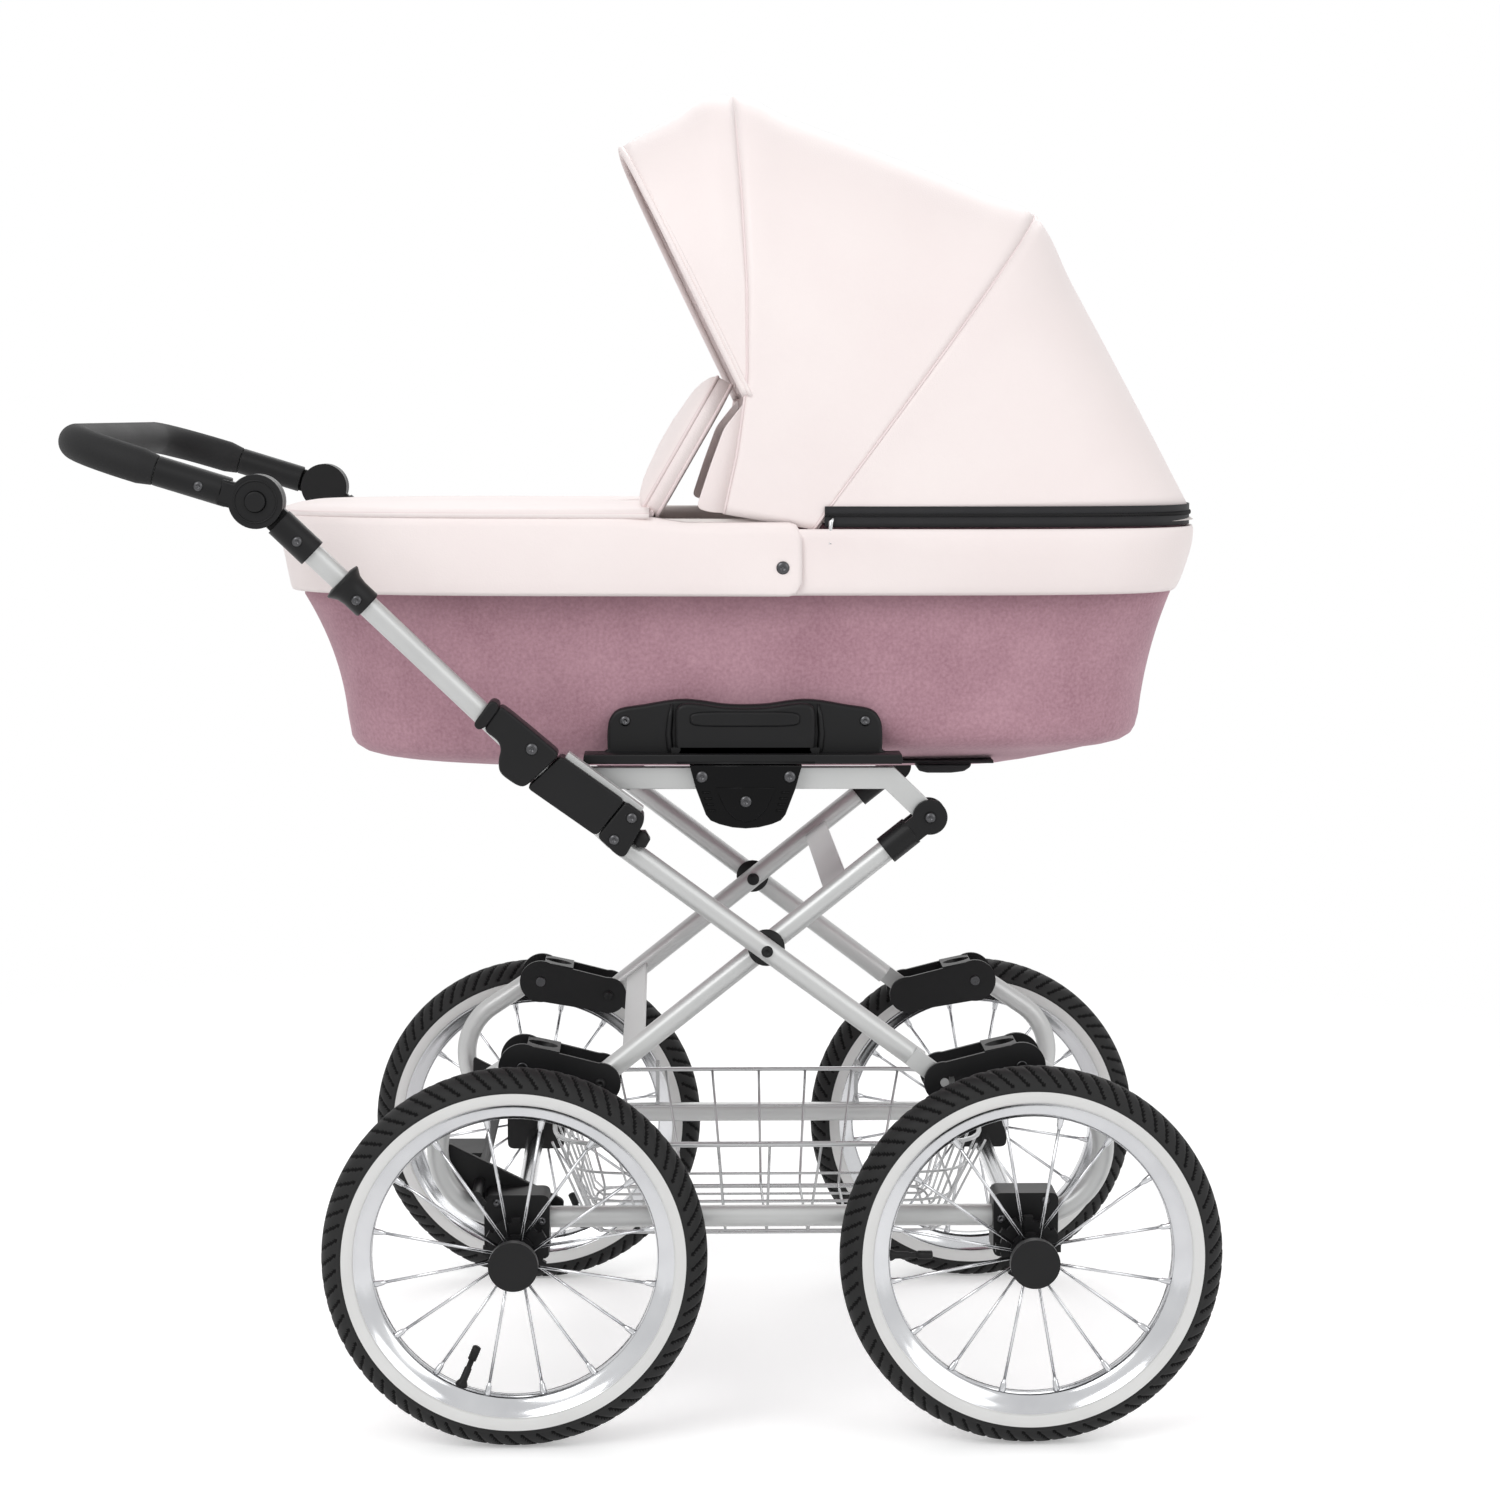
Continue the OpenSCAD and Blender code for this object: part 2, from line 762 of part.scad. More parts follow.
module brake_shaft() {
    pedal_y = -axle_bracket_in / 2;
    v = [axle_x + brake_x, axle_z - brake_z];
    axis_gap = norm(v);
    aim = [-axle_x - brake_x, axle_z - brake_z] / axis_gap;
    tip = [brake_x, brake_z] + (brake_d / 2 + pawl_l) * aim;
    color("dimgray") placed() {
        cross_pin([brake_x, brake_z], -brake_shaft_end, 2 * brake_shaft_end, brake_d);
        both_sides() rod([brake_x, brake_shaft_end - brake_d / 2, brake_z],
                         [tip[0], brake_shaft_end - brake_d / 2, tip[1]], pawl_d);
        translate([brake_x - pedal_l, pedal_y, brake_z - pedal_t / 2]) cube([pedal_l, pedal_w, pedal_t]);
    }
}

// Folding frame
module cross_tubes() {
    end = fork_pin - (fork_sleeve_start + over) * cross_dir;
    start = rear_foot - tongue_r * cross_dir;
    color("gainsboro") placed() both_sides() difference() {
        pipe([start[0], cross_y, start[1]], [end[0], cross_y, end[1]], tube_d, tube_d - 2 * tube_wall);
        cross_pin(rear_foot, 0, track, bolt_d + 2 * fit);
        cross_pin(scissor, 0, track, bolt_d + 2 * fit);
    }
}

module cross_plates() {
    half_l = cross_y - tube_d / 2 - gap / 2;
    color("gainsboro") placed() for (s = plate_places) {
        p = rear_foot + s * cross_dir;
        translate([p[0], -half_l, p[1]]) rotate([0, -cross_turn, 0])
            translate([-plate_w / 2, 0, -plate_t / 2]) cube([plate_w, 2 * half_l, plate_t]);
    }
}

// Fork that holds the rail's end at the top of a cross tube
module fork_end() {
    sleeve_end = fork_pin - fork_sleeve_start * cross_dir;
    sleeve_start = sleeve_end - fork_sleeve_l * cross_dir;
    bore_end = sleeve_end - over * cross_dir;
    cheek = rail_t / 2 + gap;
    difference() {
        union() {
            rod([sleeve_start[0], cross_y, sleeve_start[1]], [sleeve_end[0], cross_y, sleeve_end[1]], fork_sleeve_d);
            for (y = [cross_y - cheek - fork_t, cross_y + cheek]) {
                cross_pin(fork_pin, y, fork_t, fork_d);
                translate([fork_pin[0], y, fork_pin[1]]) rotate([0, -cross_turn, 0])
                    translate([-fork_sleeve_start - fork_root, 0, -fork_d / 3])
                        cube([fork_sleeve_start + fork_root, fork_t, fork_d * 2 / 3]);
            }
            cross_pin(fork_pin, cross_y - cheek - over, 2 * cheek + 2 * over, bolt_d);
        }
        rod([rear_foot[0], cross_y, rear_foot[1]], [bore_end[0], cross_y, bore_end[1]], tube_d + 2 * fit);
    }
}

module fork_ends() {
    color("#2b2b2d") placed() both_sides() fork_end();
}

// Foot bolts of the cross tubes and scissor bolts with their discs
module frame_bolts() {
    handle_in = handle_y(handle_len) - tube_d / 2;
    handle_out = handle_y(handle_len) + tube_d / 2 + washer_d / 2 * handle_spread_share + gap;
    cross_out = cross_y + tube_d / 2;
    spacer = handle_in - cross_out - gap - washer_d / 2 * handle_spread_share;
    color("#3a3a3c") placed() both_sides() {
        cross_pin(rear_foot, leg_bracket_in - screw_t, leg_bracket_w + 2 * screw_t, bolt_d);
        cross_pin(rear_foot, leg_bracket_out + gap, screw_t, screw_d);
        cross_pin(scissor, cross_y - tube_d / 2 - screw_t, handle_out + 2 * screw_t - cross_y + tube_d / 2, bolt_d);
        cross_pin(scissor, handle_out, screw_t, screw_d);
        cross_pin(scissor, cross_out + gap / 2, spacer, washer_d);
    }
}

// A point on the lower handle tube, s from its foot
function handle_point(s) = [front_foot[0] + s * handle_dir[0], handle_y(s), front_foot[1] + s * handle_dir[1]];

// A point on the upper handle tube, s from its bend
function upper_point(s) = [handle_bend[0] + s * upper_dir[0], handle_y(bend_s + s), handle_bend[1] + s * upper_dir[1]];

module handle_lower_tube() {
    end_s = bend_s - over;
    difference() {
        union() {
            rod(handle_point(tongue_l), handle_point(end_s), tube_d);
            side_plate(tongue_y, tongue_t) {
                translate(front_foot) circle(r = tongue_r);
                translate(front_foot) rotate(180 - handle_turn)
                    translate([0, -tongue_flat / 2]) square([tongue_l + plug_l / 2, tongue_flat]);
            }
            cross_pin(front_foot, tongue_y, leg_bracket_out + screw_t - tongue_y, bolt_d);
        }
        rod(handle_point(tongue_l + plug_l), handle_point(end_s + over), tube_d - 2 * tube_wall);
        cross_pin(scissor, 0, track, bolt_d + 2 * fit);
    }
}

module handle_lower_tubes() {
    color("gainsboro") placed() both_sides() handle_lower_tube();
}

// Frame of a lock case: X runs up the lower handle tube, Z to the hood side
module case_frame() {
    translate([handle_bend[0], 0, handle_bend[1]]) rotate([0, handle_turn, 0]) mirror([1, 0, 0]) children();
}

module handle_upper_tubes() {
    start = 2 * over;
    end = handle_top_len - arm_start - 2 * over;
    color("gainsboro") placed() both_sides() {
        pipe(upper_point(start), upper_point(end), tube_d, tube_d - 2 * tube_wall);
        case_frame() translate([case_start + case_r, case_y - strip_w / 2, case_low + case_h])
            cube([case_l - 2 * case_r, strip_w, strip_t]);
    }
}

module lock_case() {
    difference() {
        case_frame() side_plate(case_y - case_w / 2, case_w) translate([case_start, case_low])
            polygon(rounded(box_points(case_l, case_h), case_r));
        rod(handle_point(handle_len), handle_point(bend_s - over), tube_d + 2 * fit);
        rod(upper_point(2 * over), upper_point(handle_top_len), tube_d + 2 * fit);
    }
}

module lock_cases() {
    color("#2b2b2d") placed() both_sides() lock_case();
}

module tube_collars() {
    color("#2b2b2d") placed() both_sides()
        along(upper_point(collar_place), upper_point(handle_top_len)) difference() {
            union() {
                cylinder(h = collar_l, d = collar_d);
                translate([0, 0, collar_l - 2 * collar_lip_t]) cylinder(h = collar_lip_t, d = collar_lip_d);
            }
            translate([0, 0, -over]) cylinder(h = collar_l + 2 * over, d = tube_d + 2 * fit);
        }
}

module lock_trigger(side) {
    color("#2b2b2d") placed() on_side(side)
        along(upper_point(trigger_start), upper_point(handle_top_len)) difference() {
            union() {
                translate([-trigger_h / 2, -trigger_w / 2, 0]) linear_extrude(height = trigger_l - trigger_lip_l)
                    polygon(rounded(box_points(trigger_h, trigger_w), case_r));
                translate([0, 0, trigger_l - trigger_lip_l - over])
                    cylinder(h = trigger_lip_l + over, d = trigger_lip_d);
            }
            translate([0, 0, -over]) cylinder(h = trigger_l + 2 * over, d = tube_d + 2 * fit);
        }
}

module lock_trigger_right() {
    lock_trigger(-1);
}

module lock_trigger_left() {
    lock_trigger(1);
}

// Knuckles: the base disc lies inside, the arm disc outside
arm_y = knuckle_y + gap / 2;
knuckle_out = arm_y + knuckle_t;

module knuckle_base() {
    end = upper_point(handle_top_len - base_arm_end);
    start = upper_point(handle_top_len - arm_start);
    difference() {
        union() {
            cross_pin(knuckle, knuckle_y - gap / 2 - knuckle_t, knuckle_t, knuckle_d);
            rod(end, start, arm_d);
            translate([knuckle[0], knuckle_y - gap / 2 - knuckle_t, knuckle[1]]) rotate([0, handle_slope, 0])
                translate([0, arm_inset, -arm_web / 2])
                    cube([arm_start + arm_root, knuckle_t - 2 * arm_inset, arm_web]);
            cross_pin(knuckle, knuckle_y - gap, knuckle_t - button_l + gap, knuckle_pin_d);
        }
        rod(upper_point(0), upper_point(handle_top_len - arm_start - 2 * over), tube_d + 2 * fit);
    }
}

module knuckle_bases() {
    color("#2b2b2d") placed() both_sides() knuckle_base();
}

// Frame of the handle bar: X runs from the knuckle along the arms
module bar_frame() {
    translate([knuckle[0], 0, knuckle[1]]) rotate([0, bar_slope, 0]) mirror([1, 0, 0]) children();
}

module knuckle_arm() {
    bar_frame() difference() {
        union() {
            cross_pin([0, 0], arm_y, knuckle_t, knuckle_d);
            rod([arm_start, knuckle_y, 0], [arm_end, knuckle_y, 0], arm_d);
            translate([0, arm_y, -arm_d / 3]) cube([arm_start + arm_root, knuckle_t, arm_d * 2 / 3]);
        }
        cross_pin([0, 0], arm_y - over, knuckle_t + 2 * over - button_l, knuckle_pin_d + 2 * fit);
        cross_pin([0, 0], knuckle_out - button_l, button_l + over, button_d + 2 * fit);
        rod([arm_start + 2 * over, knuckle_y, 0], [arm_end + over, knuckle_y, 0], bar_d + 2 * fit);
    }
}

module knuckle_arms() {
    color("#2b2b2d") placed() both_sides() knuckle_arm();
}

module knuckle_button(side) {
    color("#3a3a3c") placed() on_side(side)
        cross_pin(knuckle, knuckle_out - button_l + button_travel + gap, button_l, button_d);
}

module knuckle_button_right() {
    knuckle_button(-1);
}

module knuckle_button_left() {
    knuckle_button(1);
}

// U-shaped run of the handle bar from a distance along its arms
module bar_run(start, outer, inner) {
    corner = bar_reach - bar_r;
    cross_half = knuckle_y - bar_r;
    bar_frame() {
        both_sides() {
            pipe([start, knuckle_y, 0], [corner, knuckle_y, 0], outer, inner);
            translate([corner, cross_half, 0]) rotate_extrude(angle = 90) translate([bar_r, 0]) difference() {
                circle(d = outer);
                circle(d = inner);
            }
        }
        pipe([bar_reach, -cross_half, 0], [bar_reach, cross_half, 0], outer, inner);
    }
}

module handle_bar() {
    color("silver") placed() bar_run(arm_start + 3 * over, bar_d, bar_d - 2 * tube_wall);
}

module handle_grip() {
    cone_start = arm_end + gap;
    color("#1d1d1f") placed() {
        bar_run(cone_start + cone_l, grip_d, bar_d + 2 * fit);
        bar_frame() both_sides() along([cone_start, knuckle_y, 0], [bar_reach, knuckle_y, 0]) difference() {
            cylinder(h = cone_l, d1 = arm_d, d2 = grip_d);
            translate([0, 0, -over]) cylinder(h = cone_l + 2 * over, d = bar_d + 2 * fit);
        }
    }
}

// Top rails and sockets
// Outline of a bar of height h along three points
function strip(a, b, c, h) = let (
    u = (b - a) / norm(b - a),
    v = (c - b) / norm(c - b),
    nu = h / 2 * [-u[1], u[0]],
    nv = h / 2 * [-v[1], v[0]],
    m = (nu + nv) / (1 + u * v)
) [a - nu, b - m, c - nv, c + nv, b + m, a + nu];

module top_rail() {
    start = [rail_rear_x, rail_z];
    bend = [rail_bend_x, rail_z];
    pin_y = rail_out - over;
    difference() {
        union() {
            side_plate(rail_y - rail_t / 2, rail_t) polygon(strip(start, bend, fork_pin, rail_h));
            cross_pin(fork_pin, rail_y - rail_t / 2, rail_t, 2 * rail_end_r);
            cross_pin([rail_pin_x, rail_z], pin_y, case_y - case_w / 2 - gap - pin_y, rail_pin_d);
        }
        cross_pin(fork_pin, 0, track, bolt_d + 2 * fit);
    }
}

module top_rails() {
    color("gainsboro") placed() both_sides() top_rail();
}

// Tapered outline of socket and tongue, drawn in by a margin
function socket_points(margin, rise) = [
    [socket_x - socket_low_l / 2 + margin, socket_top - socket_h + margin],
    [socket_x + socket_low_l / 2 - margin, socket_top - socket_h + margin],
    [socket_x + socket_l / 2 - margin, socket_top + rise],
    [socket_x - socket_l / 2 + margin, socket_top + rise]
];

module tub_sockets() {
    color("#242426") placed() both_sides() difference() {
        side_plate(rail_out, socket_t) polygon(rounded(socket_points(0, 0), socket_wall));
        side_plate(pocket_y, pocket_t) polygon(socket_points(socket_wall, over));
    }
}

screw_side_share = 0.4;
screw_top_share = 0.18;
screw_low_share = 0.56;

module socket_screws() {
    places = [[-screw_side_share, screw_top_share], [screw_side_share, screw_top_share], [0, screw_low_share]];
    color("silver") placed() both_sides() for (p = places)
        cross_pin([socket_x + p[0] * socket_l, socket_top - p[1] * socket_h],
                  rail_out + socket_t, socket_screw_t, socket_screw_d);
}

// Tub
tub_edge_share = 0.08;
tub_ring_shares = [0.25, 0.45, 0.6, 0.7, 0.8];

module tub_shell() {
    floor_share = tub_wall / tub_h;
    color("rosybrown") placed() loft(concat(
        [tub_ring(0, tub_wall), tub_ring(tub_edge_share / 4, tub_wall / 3), tub_ring(tub_edge_share, 0)],
        [for (r = tub_ring_shares) tub_ring(r, 0)],
        [tub_ring(1, 0), tub_ring(1, tub_wall)],
        [for (i = [len(tub_ring_shares) - 1:-1:0]) tub_ring(tub_ring_shares[i], tub_wall)],
        [tub_ring(floor_share + tub_edge_share, tub_wall), tub_ring(floor_share, 2 * tub_wall)]
    ));
}

mattress_edge_share = 0.62;
mattress_inset = 18;
mattress_crown_share = 0.18;

// Mattress with a crowned top and drawn-in sides
module mattress() {
    low = tub_floor_z + tub_wall + gap;
    inset = tub_wall + mattress_inset;
    x1 = tub_rear_x + tub_rear_taper + inset;
    x2 = tub_front_x - tub_front_taper - inset;
    half_w = tub_half_at(low) - inset;
    crown = mattress_t * mattress_crown_share;
    color("whitesmoke") placed() loft([
        plan_ring(x1 + crown, x2 - crown, half_w - crown, low),
        plan_ring(x1, x2, half_w, low + crown),
        plan_ring(x1 + crown / 3, x2 - crown / 3, half_w - crown / 3, low + mattress_t / 2),
        plan_ring(x1, x2, half_w, low + mattress_t - 2 * crown),
        plan_ring(x1 + crown, x2 - crown, half_w - crown, low + mattress_t - crown),
        plan_ring(x1 * mattress_edge_share, x2 * mattress_edge_share, half_w * mattress_edge_share,
                  low + mattress_t)
    ]);
}

bracket_in = tub_half_at(shelf_z + shelf_t + tub_bracket_h) + gap;
lever_y = bracket_in + bracket_t + gap;
lever_low = shelf_z + shelf_t + lever_barrel_d / 2;
lever_x = socket_x;
ear_t = 8;
peak_share = 0.22;
shoulder_share = 0.46;

// Bracket on the tub's side: back plate, shelf, tongue for the socket and lever ears
module tub_bracket() {
    plate_low = shelf_z + over;
    top = shelf_z + shelf_t + tub_bracket_h;
    l = tub_bracket_l;
    dip = tub_bracket_h / 9;
    outline = [[-l / 2, plate_low], [l / 2, plate_low], [l / 2, top - 3 * dip], [l * shoulder_share, top - dip],
               [l * peak_share, top], [0, top - dip], [-l * peak_share, top], [-l * shoulder_share, top - dip],
               [-l / 2, top - 3 * dip]];
    difference() {
        union() {
            side_plate(bracket_in, bracket_t) translate([socket_x, 0]) polygon(rounded(outline, dip / 2));
            translate([socket_x - shelf_l / 2, bracket_in, shelf_z])
                cube([shelf_l, pocket_y + pocket_t - tongue_clear - bracket_in, shelf_t]);
            side_plate(pocket_y + tongue_clear, pocket_t - 2 * tongue_clear)
                polygon(socket_points(socket_wall + gap, shelf_t / 2));
            both_lever_ears();
        }
        lever_axis(lever_l + 4 * ear_t, lever_pin_d + 2 * fit);
    }
}

// Round bar on the lever's hinge line
module lever_axis(l, d) {
    rod([lever_x - l / 2, lever_y + lever_barrel_d / 2, lever_low],
        [lever_x + l / 2, lever_y + lever_barrel_d / 2, lever_low], d);
}

module both_lever_ears() {
    for (x = [lever_x - lever_l / 2 - ear_t - gap, lever_x + lever_l / 2 + gap])
        translate([x, lever_y - over, lever_low - lever_barrel_d])
            cube([ear_t, lever_barrel_d + over, 2 * lever_barrel_d]);
}

module tub_brackets() {
    color("#242426") placed() both_sides() tub_bracket();
}

module release_lever(side) {
    color("#303032") placed() on_side(side) {
        lever_axis(lever_l, lever_barrel_d - gap);
        lever_axis(lever_l + ear_t, lever_pin_d);
        translate([lever_x - lever_l / 2, lever_y + gap, lever_low])
            rotate([90, 0, 0]) mirror([0, 0, 1]) linear_extrude(height = lever_t)
                polygon(rounded(box_points(lever_l, lever_h), lever_barrel_d));
    }
}

module release_lever_right() {
    release_lever(-1);
}

module release_lever_left() {
    release_lever(1);
}

// Collar band round the rim, with a hem that rests against the tub
function collar_ring(margin, z) =
    plan_ring(tub_rear_x - collar_end_gap - collar_t + margin, tub_front_x + collar_end_gap + collar_t - margin,
              collar_half + collar_t - margin, z);

function hem_ring(z) =
    let (r = rise(z))
    plan_ring(tub_rear_x + tub_rear_taper * flare(r, rear_flare_share) - hem_ease,
              tub_front_x - tub_front_taper * flare(r, front_flare_share) + hem_ease, tub_half_at(z) + gap, z);

module rim_collar() {
    bulge = collar_t / 4;
    color("mistyrose") placed() loft([
        collar_ring(collar_t / 2, collar_low),
        collar_ring(bulge / 2, collar_low + bulge),
        collar_ring(0, collar_low + collar_h / 2),
        collar_ring(bulge, tub_rim_z - bulge),
        collar_ring(collar_t / 2, tub_rim_z),
        collar_ring(collar_t, tub_rim_z - bulge),
        collar_ring(collar_t, collar_low + collar_hem),
        hem_ring(collar_low + collar_hem),
        hem_ring(collar_low)
    ], loop = true);
}

apron_steps = 10;
apron_edge_share = 0.985;
apron_top_share = 0.5;

// Apron's top sheet over the handle half of the tub, with a soft crown
module apron() {
    low = tub_rim_z + gap;
    x1 = tub_rear_x - collar_end_gap;
    x2 = apron_edge_x;
    w = collar_half;
    outline = [for (i = [-apron_steps:apron_steps]) let (a = 90 * i / apron_steps)
        [x2 - (x2 - x1) * pow(cos(a), 2 / tub_round), w * sign(a) * pow(abs(sin(a)), 2 / tub_round)]];
    middle = (x1 + x2) / 2;
    function shrunk(k, z, x = x2) = [for (p = outline) [x + (p[0] - x) * k, p[1] * k, z]];
    color("mistyrose") placed() loft([
        shrunk(apron_edge_share, low),
        shrunk(1, low + apron_t / 2),
        shrunk(apron_edge_share, low + apron_t),
        shrunk(apron_top_share, low + apron_t + apron_crown, middle)
    ]);
}

// Hinge plates on the tub's sides with the pins that carry the bows
hinge_in = tub_half_at(hood_z + hinge_d / 2) + gap;
hinge_plate_t = 2;
front_eye_y = hinge_in + hinge_plate_t + gap;
rear_eye_y = front_eye_y + eye_t + gap;
hinge_out = rear_eye_y + eye_t + gap;

module hood_hinges() {
    color("#2b2b2d") placed() both_sides() {
        cross_pin(hood_pivot, hinge_in, hinge_plate_t, hinge_d);
        cross_pin(hood_pivot, hinge_in, hinge_out - hinge_in, hinge_pin_d);
    }
}

stud_x = 8;
stud_drop = 40;

module press_studs() {
    z = tub_rim_z - stud_drop;
    color("silver") placed() {
        both_sides() cross_pin([stud_x, z], collar_half + collar_t, stud_t, stud_d);
        for (x = [tub_front_x + collar_end_gap + collar_t, tub_rear_x - collar_end_gap - collar_t - stud_t])
            translate([x, 0, z]) rotate([0, 90, 0]) cylinder(h = stud_t, d = stud_d);
    }
}

strap_l = 150;
strap_w = 26;
strap_t = 3;
strap_side_share = 0.62;
strap_x = 100;
buckle_l = 46;
buckle_t = 9;

// Webbing strap with a buckle under the tub
module base_strap() {
    y = -tub_half_w * strap_side_share;
    top = tub_floor_z - gap;
    color("#242426") placed() {
        translate([strap_x, y, top - strap_t]) cube([strap_l, strap_w, strap_t]);
        translate([strap_x + strap_l / 4, y - over, top - strap_t - buckle_t]) cube([buckle_l, strap_w + 2 * over, buckle_t]);
    }
}

// Hood
// Point of a bow's arch: t runs from one foot over the top to the other
function arch_point(reach, half_w, t) =
    let (a = 180 * t, c = cos(a), s = sin(a))
    [half_w * sign(c) * pow(abs(c), 2 / hood_round), reach * pow(abs(s), 2 / hood_round)];

// Arch strip of a bow in its own plane, standing on Y and Z
module bow_strip(reach, half_w) {
    outer = [for (i = [0:bow_steps]) arch_point(reach, half_w, i / bow_steps)];
    inner = [for (i = [bow_steps:-1:0]) arch_point(reach - bow_t, half_w - bow_t, i / bow_steps)];
    rotate([90, 0, 90]) translate([0, 0, -bow_w / 2]) linear_extrude(height = bow_w)
        polygon(concat(outer, inner));
}

// A bow that turns about a pivot, with a drilled eye on each foot in the same layer as its strip
module bow(pivot, turn, reach, eye_y, pin_d) {
    half_w = eye_y + eye_t;
    difference() {
        union() {
            translate([pivot[0], 0, pivot[1]]) rotate([0, 90 - turn, 0]) bow_strip(reach, half_w - (eye_t - bow_t) / 2);
            both_sides() cross_pin(pivot, eye_y, eye_t, eye_d);
        }
        cross_pin(pivot, -track, 2 * track, pin_d + 2 * fit);
    }
}

module rear_bow() {
    color("#3a3a3c") placed()
        bow(hood_pivot, rear_bow_turn, rear_bow_r - hood_t - bow_gap, rear_eye_y, hinge_pin_d);
}

visor_pin_d = 6;
visor_clear = 60;
front_reach = front_bow_r - hood_t - bow_gap;

// Half width of an arch at a height above its feet
function arch_half(reach, half_w, h) = half_w * pow(1 - pow(h / reach, hood_round), 1 / hood_round);

visor_eye_y = arch_half(front_reach - eye_t, front_eye_y, visor_rise + visor_clear) - gap - eye_t;

// The front bow also carries the pins of the visor bow
module front_bow() {
    pin_start = visor_eye_y - screw_t;
    pin_end = arch_half(front_reach, front_eye_y + eye_t, visor_rise) - eye_t / 2;
    color("#3a3a3c") placed() {
        bow(hood_pivot, front_bow_turn, front_reach, front_eye_y, hinge_pin_d);
        both_sides() cross_pin(visor_pivot, pin_start, pin_end - pin_start, visor_pin_d);
    }
}

module visor_bow() {
    color("#3a3a3c") placed()
        bow(visor_pivot, visor_turn, visor_r - hood_t - bow_gap, visor_eye_y, visor_pin_d);
}

// Thin shell between two grids of points
module shell(outer_rows, inner_rows) {
    m = len(outer_rows);
    n = len(outer_rows[0]);
    k = m * n;
    function quad(a, b, c, d) = [[a, b, c], [a, c, d]];
    sides = [for (i = [0:m - 2]) for (j = [0:n - 2])
        let (a = i * n + j, b = a + 1, c = a + n + 1, d = a + n)
        for (f = concat(quad(a, d, c, b), quad(a + k, b + k, c + k, d + k))) f];
    rows = [for (j = [0:n - 2]) let (a = j, b = (m - 1) * n + j)
        for (f = concat(quad(a, a + 1, a + k + 1, a + k), quad(b + 1, b, b + k, b + k + 1))) f];
    ends = [for (i = [0:m - 2]) let (a = i * n, b = i * n + n - 1)
        for (f = concat(quad(a + n, a, a + k, a + n + k), quad(b, b + n, b + n + k, b + k))) f];
    polyhedron(points = [for (r = concat(outer_rows, inner_rows)) for (p = r) p], faces = concat(sides, rows, ends));
}

// Place of the hood's arch in space, for a bow of some turn and reach about a pivot
function arch_place(pivot, turn, reach, t, drop) =
    let (p = arch_point(reach - drop, hood_half_w - drop, t))
    [pivot[0] + p[1] * cos(turn), p[0], pivot[1] + p[1] * sin(turn)];

// Point of the hood's lower edge round the hood end of the rim
function rim_place(t, drop) =
    let (a = 180 * t, c = cos(a), s = sin(a))
    [hood_x + (tub_front_x + collar_end_gap + collar_t / 2 - hood_x - drop) * pow(abs(s), 2 / tub_round),
     (hood_half_w - drop) * sign(c) * pow(abs(c), 2 / tub_round), tub_rim_z + gap];

// Share of the arch that a step stands at, between two feet
function arch_share(i, low_share) = low_share + (1 - 2 * low_share) * i / arch_steps;

skin_foot_share = 0.005;
seam_turn = 0.2;
visor_foot_share = 0.08;
visor_start_share = 0.02;

module rear_panel() {
    function row(k, drop) = [for (i = [0:arch_steps]) let (t = arch_share(i, skin_foot_share),
        low = rim_place(t, drop), high = arch_place(hood_pivot, rear_bow_turn - seam_turn, rear_bow_r, t, drop))
        low + (high - low) * k];
    shares = [for (i = [0:panel_steps]) i / panel_steps];
    color("mistyrose") placed() shell([for (k = shares) row(k, 0)], [for (k = shares) row(k, hood_t)]);
}

module main_panel() {
    function row(k, drop) = [for (i = [0:arch_steps]) let (t = arch_share(i, skin_foot_share),
        a = arch_place(hood_pivot, rear_bow_turn + seam_turn, rear_bow_r, t, drop),
        b = arch_place(hood_pivot, front_bow_turn - seam_turn, front_bow_r, t, drop))
        a + (b - a) * k];
    shares = [for (i = [0:panel_steps]) i / panel_steps];
    color("mistyrose") placed() shell([for (k = shares) row(k, 0)], [for (k = shares) row(k, hood_t)]);
}

// Visor cloth between the front bow above the visor pivots and the visor bow
module visor_panel() {
    function row(k, drop) = [for (i = [0:arch_steps])
        let (a = arch_place(hood_pivot, front_bow_turn + seam_turn, front_bow_r, arch_share(i, visor_foot_share), drop),
             b = arch_place(visor_pivot, visor_turn, visor_r, i / arch_steps, drop))
        a + (b - a) * k];
    shares = [for (i = [0:panel_steps]) visor_start_share + (1 - visor_start_share) * i / panel_steps];
    color("mistyrose") placed() shell([for (k = shares) row(k, 0)], [for (k = shares) row(k, hood_t)]);
}

flap_edge_share = 0.18;
flap_edge_t = 5;
flap_face = 1;

// Padded wind flap, thickest in the middle, hung by its lower edge on the apron's front edge
module wind_flap() {
    function ring(x_share, y_share, z) = [for (j = [0:ring_points - 1])
        let (a = 360 * j / ring_points, c = cos(a), s = sin(a))
        [gap + flap_l / 2 + flap_l / 2 * x_share * sign(c) * pow(abs(c), 2 / tub_round),
         flap_half_w * y_share * sign(s) * pow(abs(s), 2 / tub_round), z]];
    inner = 1 - flap_edge_share;
    color("mistyrose") placed() translate([apron_edge_x, 0, flap_z]) rotate([0, -flap_turn, 0]) loft([
        ring(inner / 2, inner, -flap_t),
        ring(inner, inner, flap_edge_t - flap_t),
        ring(1, 1, -flap_edge_t),
        ring(1, 1, 0),
        ring(inner, inner, flap_face),
        ring(inner / 2, inner, flap_face)
    ]);
}

